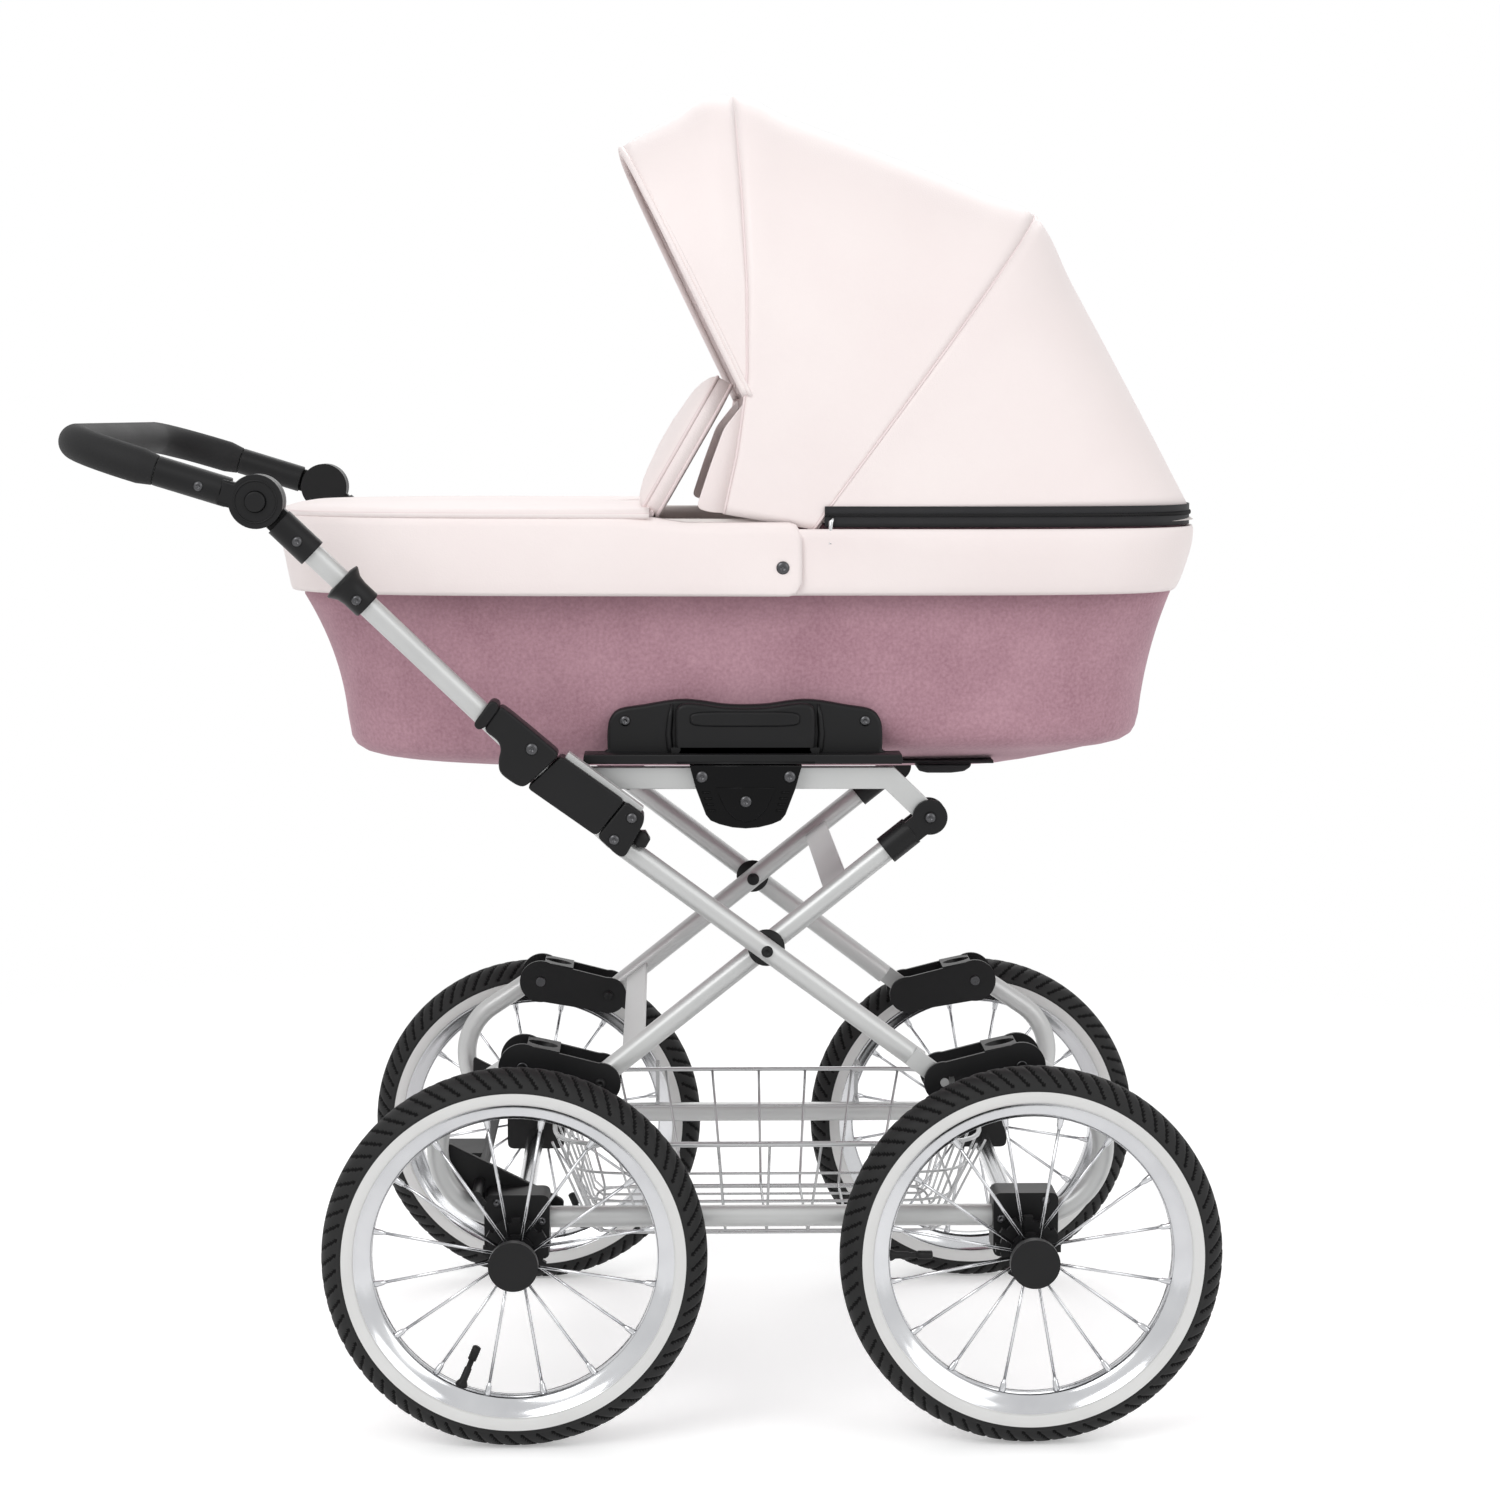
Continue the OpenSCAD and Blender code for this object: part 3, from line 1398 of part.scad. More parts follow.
// Wheels, drawn with their axle on Z and their outer side up
module tyre(turn) {
    r = tyre_d / 2;
    crown = r - tyre_w / 2;
    bead_w = rim_w - 2 * rim_t - 2 * gap;
    seat = rim_bore_d / 2 + rim_t + gap;
    rotate_extrude() {
        difference() {
            translate([crown, 0]) circle(d = tyre_w);
            translate([0, -tyre_w]) square([rim_d / 2 + gap, 2 * tyre_w]);
        }
        translate([seat, -bead_w / 2]) square([crown - seat, bead_w]);
    }
    rotate([0, 0, turn]) translate([rim_bore_d / 2 - valve_l, 0, 0]) rotate([0, 90, 0])
        cylinder(h = valve_l - gap, d = valve_d);
}

module rim() {
    barrel = rim_bore_d / 2;
    rotate_extrude() {
        translate([barrel, -rim_w / 2]) square([rim_t, rim_w]);
        for (y = [-rim_w / 2, rim_w / 2 - rim_t]) translate([barrel, y]) square([rim_d / 2 - barrel, rim_t]);
    }
    for (i = [0:spoke_count - 1]) {
        side = i % 2 == 0 ? 1 : -1;
        a = 360 * (i + 0.5) / spoke_count;
        h = a + side * spoke_lean;
        r1 = hub_flange_d / 2 + gap;
        r2 = barrel - gap;
        rod([r1 * cos(h), r1 * sin(h), side * flange_y], [r2 * cos(a), r2 * sin(a), side * spoke_d], spoke_d);
    }
}

module hub() {
    difference() {
        union() {
            translate([0, 0, -hub_half_l]) cylinder(h = 2 * hub_half_l, d = hub_d);
            for (z = [-flange_y, flange_y]) translate([0, 0, z - flange_t / 2])
                cylinder(h = flange_t, d = hub_flange_d);
            translate([0, 0, hub_half_l]) cylinder(h = cap_t, d = hub_cap_d);
            translate([0, 0, -hub_half_l]) cylinder(h = disc_t, d = brake_disc_d - tooth_d);
            for (i = [0:brake_teeth - 1]) rotate([0, 0, 360 * i / brake_teeth])
                translate([brake_disc_d / 2 - tooth_d, -tooth_d / 2, -hub_half_l]) cube([tooth_d, tooth_d, disc_t]);
        }
        translate([0, 0, -hub_half_l - over]) cylinder(h = 2 * hub_half_l + over + gap, d = stub_d + 2 * fit);
    }
}

// Stands a wheel part on its axle: end 1 is the hood end, side 1 the left
module at_wheel(end, side) {
    placed() translate([end * axle_x, side * wheel_y, axle_z]) rotate([-side * 90, 0, 0]) children();
}

module tyre_rear_right() { color("#202022") at_wheel(-1, -1) tyre(valve_turn); }
module rim_rear_right() { color("silver") at_wheel(-1, -1) rim(); }
module hub_rear_right() { color("#2b2b2d") at_wheel(-1, -1) hub(); }
module tyre_rear_left() { color("#202022") at_wheel(-1, 1) tyre(-valve_turn); }
module rim_rear_left() { color("silver") at_wheel(-1, 1) rim(); }
module hub_rear_left() { color("#2b2b2d") at_wheel(-1, 1) hub(); }
module tyre_front_right() { color("#202022") at_wheel(1, -1) tyre(front_valve_turn); }
module rim_front_right() { color("silver") at_wheel(1, -1) rim(); }
module hub_front_right() { color("#2b2b2d") at_wheel(1, -1) hub(); }
module tyre_front_left() { color("#202022") at_wheel(1, 1) tyre(-valve_turn); }
module rim_front_left() { color("silver") at_wheel(1, 1) rim(); }
module hub_front_left() { color("#2b2b2d") at_wheel(1, 1) hub(); }

base_tubes();
axles();
axle_brackets();
leg_brackets();
bracket_screws();
basket_floor();
basket_side_right();
basket_side_left();
basket_end_rear();
basket_end_front();
basket_hooks();
brake_shaft();
cross_tubes();
cross_plates();
fork_ends();
frame_bolts();
handle_lower_tubes();
handle_upper_tubes();
lock_cases();
tube_collars();
knuckle_bases();
lock_trigger_right();
lock_trigger_left();
handle_bar();
handle_grip();
knuckle_arms();
knuckle_button_right();
knuckle_button_left();
top_rails();
tub_sockets();
socket_screws();
tub_shell();
mattress();
tub_brackets();
rim_collar();
apron();
hood_hinges();
press_studs();
base_strap();
release_lever_right();
release_lever_left();
rear_bow();
front_bow();
visor_bow();
rear_panel();
main_panel();
visor_panel();
wind_flap();
tyre_rear_right();
rim_rear_right();
hub_rear_right();
tyre_rear_left();
rim_rear_left();
hub_rear_left();
tyre_front_right();
rim_front_right();
hub_front_right();
tyre_front_left();
rim_front_left();
hub_front_left();
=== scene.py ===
import math

import bmesh
import bpy
import numpy as np
from mathutils import Matrix, Vector


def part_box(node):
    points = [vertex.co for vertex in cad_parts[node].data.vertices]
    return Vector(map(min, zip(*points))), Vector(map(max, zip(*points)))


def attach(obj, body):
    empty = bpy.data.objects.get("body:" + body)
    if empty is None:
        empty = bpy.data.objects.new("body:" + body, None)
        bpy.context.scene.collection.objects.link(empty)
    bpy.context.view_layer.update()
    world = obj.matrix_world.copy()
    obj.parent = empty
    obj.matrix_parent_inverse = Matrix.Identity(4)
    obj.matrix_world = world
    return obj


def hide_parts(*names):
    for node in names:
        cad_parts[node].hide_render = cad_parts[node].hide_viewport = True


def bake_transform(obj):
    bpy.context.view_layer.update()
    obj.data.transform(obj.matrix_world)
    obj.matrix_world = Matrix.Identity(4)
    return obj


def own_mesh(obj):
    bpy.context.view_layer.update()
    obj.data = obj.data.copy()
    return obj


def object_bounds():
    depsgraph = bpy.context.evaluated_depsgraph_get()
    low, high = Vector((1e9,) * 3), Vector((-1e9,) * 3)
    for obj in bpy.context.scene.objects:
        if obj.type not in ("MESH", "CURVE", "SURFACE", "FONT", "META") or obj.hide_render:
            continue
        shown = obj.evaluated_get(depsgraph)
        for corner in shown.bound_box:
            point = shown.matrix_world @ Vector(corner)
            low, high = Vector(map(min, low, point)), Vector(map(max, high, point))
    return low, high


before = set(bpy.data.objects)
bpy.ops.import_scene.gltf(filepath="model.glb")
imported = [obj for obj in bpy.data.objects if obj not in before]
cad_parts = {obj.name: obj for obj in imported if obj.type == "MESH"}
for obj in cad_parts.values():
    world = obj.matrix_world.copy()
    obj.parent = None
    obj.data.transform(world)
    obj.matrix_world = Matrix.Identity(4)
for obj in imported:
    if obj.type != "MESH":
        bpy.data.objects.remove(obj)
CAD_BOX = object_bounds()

# Sizes below are in millimetres in the chassis frame: X = 0 midway between the
# axles and growing towards the hood, Y across, Z up from the ground.
SHIFT_X = 500 * (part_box("tyre_rear_right")[0].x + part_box("tyre_front_right")[1].x)
SIDES = {"right": -1, "left": 1}


def cad_span(node):
    """Lowest and highest corner of a CAD node in the chassis frame, in millimetres."""
    return [Vector((c.x * 1000 - SHIFT_X, c.y * 1000, c.z * 1000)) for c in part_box(node)]


TUB_LOW, TUB_HIGH = cad_span("tub_shell")
TUB_REAR, TUB_FRONT, TUB_HALF = TUB_LOW.x, TUB_HIGH.x, TUB_HIGH.y
TUB_FLOOR, TUB_RIM = TUB_LOW.z, TUB_HIGH.z
BAND_LOW, BAND_HIGH = cad_span("rim_collar")
COLLAR_REAR, COLLAR_FRONT, COLLAR_HALF = BAND_LOW.x, BAND_HIGH.x, BAND_HIGH.y
PLAN_POWER = 4.0
APRON_EDGE, APRON_TOP, APRON_CROWN = -112.0, 845.0, 2.0
HOOD_PIVOT = (20.0, 810.0)
HOOD_HALF, HOOD_POWER = 212.0, 2.9
REAR_REACH, REAR_SEAM_TURN = 392.0, 53.4
FRONT_TURN, FRONT_REACH = 97.5, 428.0
VISOR_FOOT, VISOR_TIP, VISOR_HALF = (-25.5, 953.0), (-140.3, 1186.0), 209.0
ZIP_LOW, ZIP_TOP = 834.0, 853.0
WHEEL_X, WHEEL_Y, WHEEL_Z = 235.0, 275.0, 175.0


def at(x, y, z):
    """A point of the chassis frame, in millimetres, as a point of the row frame."""
    return Vector(((x + SHIFT_X) / 1000, y / 1000, z / 1000))


def linear(rgb):
    """Linear colour of an 8-bit screen colour."""
    parts = [c / 255 for c in rgb]
    return [c / 12.92 if c <= 0.04045 else ((c + 0.055) / 1.055) ** 2.4 for c in parts]


# Materials


def add_node(tree, kind, links=(), **values):
    """A shader node with its settings, sockets and incoming links in one call."""
    made = tree.nodes.new(kind)
    for name, value in values.items():
        if hasattr(made, name):
            setattr(made, name, value)
        else:
            made.inputs[name.replace("_", " ").title()].default_value = value
    for source, target in links:
        tree.links.new(source, made.inputs[target])
    return made


def ranged(tree, factor, low, high):
    """A factor from 0 to 1 spread between two values."""
    spread = add_node(tree, "ShaderNodeMapRange", [(factor, "Value")], to_min=low, to_max=high)
    return spread.outputs["Result"]


def bump_chain(tree, height, strength, distance, before=None):
    """A bump on top of the one before it."""
    links = [(height, "Height")]
    if before is not None:
        links.append((before.outputs["Normal"], "Normal"))
    return add_node(tree, "ShaderNodeBump", links, strength=strength, distance=distance)


PATCH_DETAIL, SOFT_DETAIL, GRAIN_DETAIL = 4.0, 2.0, 3.0


def finish_surface(
    name, dark, light, rough, patch, grain=None, wrinkle=None, weave=None, speck=None, **sockets
):
    """A material whose colour and roughness wander between two values over patches, with flecks
    in its colour and a fine grain, soft wrinkles or a weave in its bump."""
    material = bpy.data.materials.new(name)
    material.use_nodes = True
    tree = material.node_tree
    shader = tree.nodes["Principled BSDF"]
    place = tree.nodes.new("ShaderNodeTexCoord").outputs["Object"]

    def texture(kind, output, **values):
        return add_node(tree, kind, [(place, "Vector")], **values).outputs[output]

    def noise(scale, detail):
        return texture("ShaderNodeTexNoise", "Fac", scale=scale, detail=detail)

    wander = shade = noise(patch, PATCH_DETAIL)
    if speck:
        scale, reach = speck
        swing = ranged(tree, noise(scale, SOFT_DETAIL), -reach, reach)
        shade = add_node(tree, "ShaderNodeMath", [(wander, 0), (swing, 1)], operation="ADD").outputs["Value"]
    tint = add_node(tree, "ShaderNodeMix", [(shade, "Factor")], data_type="RGBA")
    tint.inputs["A"].default_value = (*linear(dark), 1)
    tint.inputs["B"].default_value = (*linear(light), 1)
    tree.links.new(tint.outputs["Result"], shader.inputs["Base Color"])
    tree.links.new(ranged(tree, wander, *rough), shader.inputs["Roughness"])
    bump = None
    if wrinkle:
        scale, strength, distance = wrinkle
        bump = bump_chain(tree, noise(scale, SOFT_DETAIL), strength, distance)
    if grain:
        kind, scale, strength, distance = grain
        if kind == "cells":
            height = texture("ShaderNodeTexVoronoi", "Distance", scale=scale)
        else:
            height = noise(scale, GRAIN_DETAIL)
        bump = bump_chain(tree, height, strength, distance, bump)
    if weave:
        scale, strength, distance = weave
        for direction in ("X", "Z"):
            yarn = texture("ShaderNodeTexWave", "Fac", scale=scale, bands_direction=direction)
            bump = bump_chain(tree, yarn, strength, distance, bump)
    if bump is not None:
        tree.links.new(bump.outputs["Normal"], shader.inputs["Normal"])
    for socket, value in sockets.items():
        shader.inputs[socket.replace("_", " ").title().replace("Ior", "IOR")].default_value = value
    return material


M = {
    "leather": finish_surface(
        "pale_leather", (240, 227, 226), (250, 241, 239), (0.40, 0.52), patch=7.0,
        grain=("cells", 620.0, 0.16, 0.0005), wrinkle=(22.0, 0.14, 0.004),
    ),
    "leather_edge": finish_surface(
        "leather_piping", (232, 215, 215), (243, 229, 228), (0.42, 0.55), patch=30.0,
        grain=("cells", 620.0, 0.12, 0.0004),
    ),
    "lining": finish_surface(
        "hood_lining", (238, 225, 224), (248, 238, 237), (0.75, 0.88), patch=12.0,
        wrinkle=(22.0, 0.08, 0.002),
    ),
    "cotton": finish_surface(
        "quilted_cotton", (226, 219, 216), (240, 234, 231), (0.8, 0.92), patch=10.0,
        wrinkle=(16.0, 0.3, 0.006), weave=(420.0, 0.12, 0.0003),
    ),
    "velvet": finish_surface(
        "mauve_velvet", (156, 114, 127), (193, 152, 164), (0.78, 0.92), patch=16.0,
        grain=("noise", 900.0, 0.35, 0.0008), wrinkle=(30.0, 0.2, 0.004), speck=(330.0, 0.55),
        sheen_weight=0.35, sheen_roughness=0.45, sheen_tint=(0.93, 0.74, 0.80, 1),
    ),
    "black": finish_surface(
        "black_plastic", (18, 18, 19), (27, 27, 28), (0.36, 0.5), patch=20.0,
        grain=("noise", 1500.0, 0.05, 0.0002), specular_ior_level=0.22,
    ),
    "gloss": finish_surface(
        "gloss_black_plastic", (8, 8, 9), (12, 12, 13), (0.14, 0.24), patch=18.0,
        wrinkle=(50.0, 0.03, 0.001), specular_ior_level=0.12,
    ),
    "paint": finish_surface(
        "satin_frame_paint", (186, 187, 187), (203, 204, 203), (0.30, 0.40), patch=12.0,
        grain=("noise", 700.0, 0.04, 0.0002), metallic=0.35,
    ),
    "chrome": finish_surface(
        "bright_metal", (196, 197, 199), (214, 215, 216), (0.10, 0.20), patch=15.0, metallic=1.0
    ),
    "steel": finish_surface(
        "dark_screws", (70, 70, 72), (94, 94, 96), (0.22, 0.34), patch=40.0, metallic=1.0
    ),
    "wire": finish_surface(
        "basket_wire", (170, 171, 172), (196, 197, 198), (0.22, 0.34), patch=20.0, metallic=0.8
    ),
    "rim": finish_surface(
        "polished_rim", (184, 185, 188), (214, 215, 217), (0.08, 0.18), patch=18.0, metallic=1.0
    ),
    "rubber": finish_surface(
        "tyre_rubber", (23, 23, 24), (33, 33, 33), (0.55, 0.7), patch=14.0,
        grain=("noise", 900.0, 0.12, 0.0003), specular_ior_level=0.3,
    ),
    # painted shade: the faces in the tread's grooves get a darker rubber colour for the shade that falls in
    # them
    "groove": finish_surface(
        "tread_groove_painted_shade", (12, 12, 13), (18, 18, 18), (0.8, 0.9), patch=14.0, specular_ior_level=0.15
    ),
    "whitewall": finish_surface(
        "tyre_white_wall", (209, 209, 208), (227, 227, 226), (0.45, 0.6), patch=14.0,
        grain=("noise", 900.0, 0.06, 0.0002),
    ),
    "grip": finish_surface(
        "soft_grip", (22, 22, 23), (32, 32, 33), (0.62, 0.76), patch=15.0,
        grain=("cells", 560.0, 0.25, 0.0006), specular_ior_level=0.3,
    ),
    "zip": finish_surface(
        "zip_tape", (12, 12, 15), (20, 20, 24), (0.6, 0.8), patch=30.0, weave=(500.0, 0.3, 0.0003)
    ),
    "webbing": finish_surface(
        "strap_webbing", (30, 30, 32), (44, 44, 46), (0.7, 0.85), patch=30.0, weave=(330.0, 0.5, 0.0006)
    ),
}


# Mesh building

ALL_SMOOTH = 99


def link_object(name, data):
    piece = bpy.data.objects.new(name, data)
    bpy.context.scene.collection.objects.link(piece)
    return piece


def mesh_data(name, points, faces, *materials, smooth_below=5):
    """A mesh from points in metres, with smooth shading on faces of fewer corners than a limit."""
    data = bpy.data.meshes.new(name)
    data.from_pydata([tuple(p) for p in points], [], faces)
    data.update()
    data.polygons.foreach_set("use_smooth", [len(face) < smooth_below for face in faces])
    for material in materials:
        data.materials.append(material)
    return data


def mesh_piece(name, points, faces, *materials):
    return link_object(name, mesh_data(name, points, faces, *materials))


def grid_faces(rows, columns, wrap_rows=False, wrap_columns=False):
    """Quads of a grid of points that is laid out row by row."""
    faces = []
    for r in range(rows if wrap_rows else rows - 1):
        for c in range(columns if wrap_columns else columns - 1):
            a, b = r * columns + c, r * columns + (c + 1) % columns
            d, e = ((r + 1) % rows) * columns + c, ((r + 1) % rows) * columns + (c + 1) % columns
            faces.append((a, b, e, d))
    return faces


def grid_piece(name, rows, *materials, wrap_columns=False):
    points = [p for row in rows for p in row]
    return mesh_piece(name, points, grid_faces(len(rows), len(rows[0]), False, wrap_columns), *materials)


def capped(name, rows, material, *ends):
    """A closed sleeve of rows, with a fan over its first row (0), its last row (-1) or both."""
    columns = len(rows[0])
    points = [p for row in rows for p in row]
    faces = grid_faces(len(rows), columns, False, True)
    for end in ends:
        first = end % len(rows) * columns
        points.append(sum(rows[end], Vector()) / columns)
        for c in range(columns):
            a, b = first + c, first + (c + 1) % columns
            faces.append((b, a, len(points) - 1) if end == 0 else (a, b, len(points) - 1))
    return mesh_piece(name, points, faces, material)


def thicken(piece, thickness, offset=-1.0, inner=0):
    """Gives a sheet its thickness in millimetres; offset -1 grows it inwards."""
    solid = piece.modifiers.new("thickness", "SOLIDIFY")
    solid.thickness = thickness / 1000
    solid.offset = offset
    solid.material_offset = inner


def tube_shape(path, radius, sides=8, closed=False):
    """Points and faces of a round tube along a path of the row frame. The radius, in millimetres,
    is one number or one for each point."""
    path = [Vector(p) for p in path]
    count = len(path)
    radii = radius if hasattr(radius, "__len__") else [radius] * count
    ahead = []
    for i in range(count):
        before = path[i - 1] if closed or i > 0 else path[i]
        after = path[(i + 1) % count] if closed or i < count - 1 else path[i]
        ahead.append((after - before).normalized())
    start = Vector((0, 0, 1)) if abs(ahead[0].z) < 0.9 else Vector((1, 0, 0))
    across = ahead[0].cross(start).normalized()
    points = []
    for i in range(count):
        across = (across - ahead[i] * across.dot(ahead[i])).normalized()
        up = ahead[i].cross(across)
        for k in range(sides):
            turn = 2 * math.pi * k / sides
            points.append(path[i] + (across * math.cos(turn) + up * math.sin(turn)) * radii[i] / 1000)
    faces = grid_faces(count, sides, closed, True)
    if not closed:
        faces.append(tuple(range(sides - 1, -1, -1)))
        faces.append(tuple(range((count - 1) * sides, count * sides)))
    return points, faces


def joined(shapes):
    """Several (points, faces) as one."""
    points, faces = [], []
    for p, f in shapes:
        first = len(points)
        points += list(p)
        faces += [tuple(first + i for i in face) for face in f]
    return points, faces


def tube_piece(name, path, radius, material, sides=8, closed=False):
    return mesh_piece(name, *tube_shape(path, radius, sides, closed), material)


def lathe_shape(profile, steps, closed=False):
    """Turns (radius, along) in millimetres about the local Y axis."""
    points = []
    for r, y in profile:
        for k in range(steps):
            turn = 2 * math.pi * k / steps
            points.append(Vector((r * math.cos(turn), y, r * math.sin(turn))) / 1000)
    return points, grid_faces(len(profile), steps, closed, True)


def spaced(points, count, closed=False):
    """The same line with count points at equal steps."""
    p = np.array([tuple(v) for v in points], float)
    if closed:
        p = np.vstack([p, p[:1]])
    step = np.linalg.norm(np.diff(p, axis=0), axis=1)
    run = np.concatenate([[0], np.cumsum(step)])
    want = np.linspace(0, run[-1], count + 1 if closed else count)
    if closed:
        want = want[:-1]
    return np.stack([np.interp(want, run, p[:, i]) for i in range(p.shape[1])], axis=1)


def oval(rear, front, half, count, power=PLAN_POWER):
    """Plan outline between two ends, at equal steps, from the handle end round the right side."""
    turn = np.linspace(0, 2 * np.pi, 1441)[:-1]
    c, s = np.cos(turn), np.sin(turn)
    x = (rear + front) / 2 - (front - rear) / 2 * np.sign(c) * np.abs(c) ** (2 / power)
    y = -half * np.sign(s) * np.abs(s) ** (2 / power)
    return spaced(np.stack([x, y], axis=1), count, closed=True)


def outward(ring):
    """Unit vectors that point out of a closed plan outline."""
    ahead = np.roll(ring, -1, axis=0) - np.roll(ring, 1, axis=0)
    out = np.stack([ahead[:, 1], -ahead[:, 0]], axis=1)
    out /= np.linalg.norm(out, axis=1)[:, None]
    middle = ring.mean(axis=0)
    flip = np.sign(((ring - middle) * out).sum(axis=1))
    return out * flip[:, None]


def put(piece, body, slot, *nodes):
    """The piece rides on a body and stands for CAD nodes; the slot is not used."""
    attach(piece, body)
    if nodes:
        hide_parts(*nodes)
    return piece


def piping(name, line, radius, body, *nodes, look="leather_edge", sides=8, closed=False):
    """A round leather edge along a line."""
    return put(tube_piece(name, line, radius, M[look], sides, closed), body, "pale_leather", *nodes)


WELD, FLAT_ANGLE, SHARP_ANGLE = 2e-5, math.radians(1.0), math.radians(32.0)


def softened(node, material, body, slot, width):
    """A copy of a CAD node with its sharp edges rounded and its round faces smooth."""
    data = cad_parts[node].data.copy()
    data.name = "soft_" + node
    data.materials.clear()
    shape = bmesh.new()
    shape.from_mesh(data)
    bmesh.ops.remove_doubles(shape, verts=shape.verts, dist=WELD)
    bmesh.ops.dissolve_limit(shape, angle_limit=FLAT_ANGLE, verts=shape.verts, edges=shape.edges)
    for face in shape.faces:
        face.smooth = True
        face.material_index = 0
    for edge in shape.edges:
        edge.smooth = len(edge.link_faces) == 2 and edge.calc_face_angle(math.pi) < SHARP_ANGLE
    shape.to_mesh(data)
    shape.free()
    data.materials.append(material)
    piece = link_object("soft_" + node, data)
    bevel = piece.modifiers.new("rounding", "BEVEL")
    bevel.width = width / 1000
    bevel.segments = 2
    bevel.limit_method = "ANGLE"
    bevel.angle_limit = SHARP_ANGLE
    return put(piece, body, slot, node)


# Frame, plastics and small metal: rounded copies of their CAD nodes

HARD = [
    ("base_tubes", "paint", "base", "frame_paint", 0.6),
    ("axles", "chrome", "base", "bright_metal", 0.5),
    ("axle_brackets", "black", "base", "black_plastic", 1.2),
    ("leg_brackets", "black", "base", "black_plastic", 1.2),
    ("bracket_screws", "steel", "base", "bright_metal", 0.5),
    ("basket_hooks", "wire", "base", "bright_metal", 0.5),
    ("brake_shaft", "black", "brake", "black_plastic", 1.0),
    ("cross_tubes", "paint", "cross_frame", "frame_paint", 0.5),
    ("cross_plates", "paint", "cross_frame", "frame_paint", 0.6),
    ("fork_ends", "black", "cross_frame", "black_plastic", 1.2),
    ("handle_lower_tubes", "paint", "handle_frame", "frame_paint", 0.5),
    ("handle_upper_tubes", "paint", "handle_frame", "frame_paint", 0.5),
    ("knuckle_bases", "black", "handle_frame", "black_plastic", 1.4),
    ("handle_bar", "paint", "handle", "frame_paint", 0.4),
    ("knuckle_arms", "black", "handle", "black_plastic", 1.4),
    ("knuckle_button_right", "black", "button_right", "grey_plastic", 1.2),
    ("knuckle_button_left", "black", "button_left", "grey_plastic", 1.2),
    ("top_rails", "paint", "top_rail", "frame_paint", 0.6),
    ("hood_hinges", "black", "tub", "black_plastic", 0.8),
    ("rear_bow", "lining", "hood_rear", "pale_leather", 0.5),
    ("front_bow", "lining", "hood_front", "pale_leather", 0.5),
]
for node, look, body, slot, width in HARD:
    softened(node, M[look], body, slot, width)


# Moulded plastics, screws and bolts, drawn after the photo


RING_STEPS, CORNER_STEPS, CORNER_SHARE = 6, 4, 0.45


def smooth_ring(points):
    """A closed outline through the points, rounded between them."""
    p = np.array(points, float)
    line = []
    for i in range(len(p)):
        a, b, c, d = p[i - 1], p[i], p[(i + 1) % len(p)], p[(i + 2) % len(p)]
        for t in np.arange(RING_STEPS) / RING_STEPS:
            bend = (2 * a - 5 * b + 4 * c - d) * t ** 2 + (3 * b - a - 3 * c + d) * t ** 3
            line.append((2 * b + (c - a) * t + bend) / 2)
    return np.array(line)


def rounded_corners(points, reach):
    """A closed outline with each corner rounded from a reach before it."""
    line = []
    for i, p in enumerate(points):
        p = Vector(p)
        a, b = Vector(points[i - 1]), Vector(points[(i + 1) % len(points)])
        start = p + (a - p).normalized() * min(reach, (a - p).length * CORNER_SHARE)
        end = p + (b - p).normalized() * min(reach, (b - p).length * CORNER_SHARE)
        for t in np.linspace(0, 1, CORNER_STEPS + 1):
            line.append((1 - t) ** 2 * start + 2 * t * (1 - t) * p + t ** 2 * end)
    return [tuple(q) for q in line]


def both_halves(middle, half):
    """A closed outline from (half width, height) pairs that run up to the middle."""
    right = [(middle + w, z) for w, z in half]
    left = [(middle - w, z) for w, z in reversed(half) if w > 0]
    return right + left


def cushion(outline, inner, outer, soft=2.0, steps=4):
    """A plate between two Y places, with an outline in X and Z and rounded edges."""
    ring = np.array(outline, float)
    after, before = np.roll(ring, -1, axis=0), np.roll(ring, 1, axis=0)
    ahead = (after - before) / np.linalg.norm(after - before, axis=1)[:, None]
    area = (ring[:, 0] * after[:, 1] - ring[:, 1] * after[:, 0]).sum()
    out = np.stack([ahead[:, 1], -ahead[:, 0]], axis=1) * np.sign(area)
    way = 1 if outer > inner else -1
    edge = [math.pi / 2 * k / steps for k in range(steps + 1)]
    rows = [(inner + way * soft * (1 - math.cos(a)), soft * (1 - math.sin(a))) for a in edge]
    rows += [(outer - way * soft * (1 - math.sin(a)), soft * (1 - math.cos(a))) for a in edge]
    points = [at(x, y, z) for y, inset in rows for x, z in ring - out * inset]
    faces = grid_faces(len(rows), len(ring), False, True)
    faces.append(tuple(range(len(ring))))
    faces.append(tuple(range((len(rows) - 1) * len(ring), len(rows) * len(ring))))
    return points, faces


AXIS_R = 0.05
SCREW_DOME = [
    (0.05, 0.7), (0.3, 0.7), (0.38, 2.1), (0.6, 1.9), (0.85, 1.3), (1.0, 0.3), (1.0, -1.0), (0.05, -1.0),
]


def turned(x, z, profile, way, steps=28):
    """A round form about a line along Y, from (radius, distance from the middle) pairs."""
    points, faces = lathe_shape([(r, way * y) for r, y in profile], steps)
    return [p + at(x, 0, z) for p in points], faces


def pin(x, z, radius, start, end, way, steps=16):
    """A plain round pin along Y."""
    return turned(x, z, [(AXIS_R, start), (radius, start), (radius, end), (AXIS_R, end)], way, steps)


def screw(x, z, face, way, radius):
    """A domed screw head with a recess, on a face at a distance from the middle."""
    return turned(x, z, [(r * radius, face + h) for r, h in SCREW_DOME], way, 20)


def solid_piece(name, shapes, material):
    """One mesh from several closed shapes, with all faces looking out."""
    piece = mesh_piece(name, *joined(shapes), material)
    shape = bmesh.new()
    shape.from_mesh(piece.data)
    bmesh.ops.recalc_face_normals(shape, faces=shape.faces)
    shape.to_mesh(piece.data)
    shape.free()
    return piece


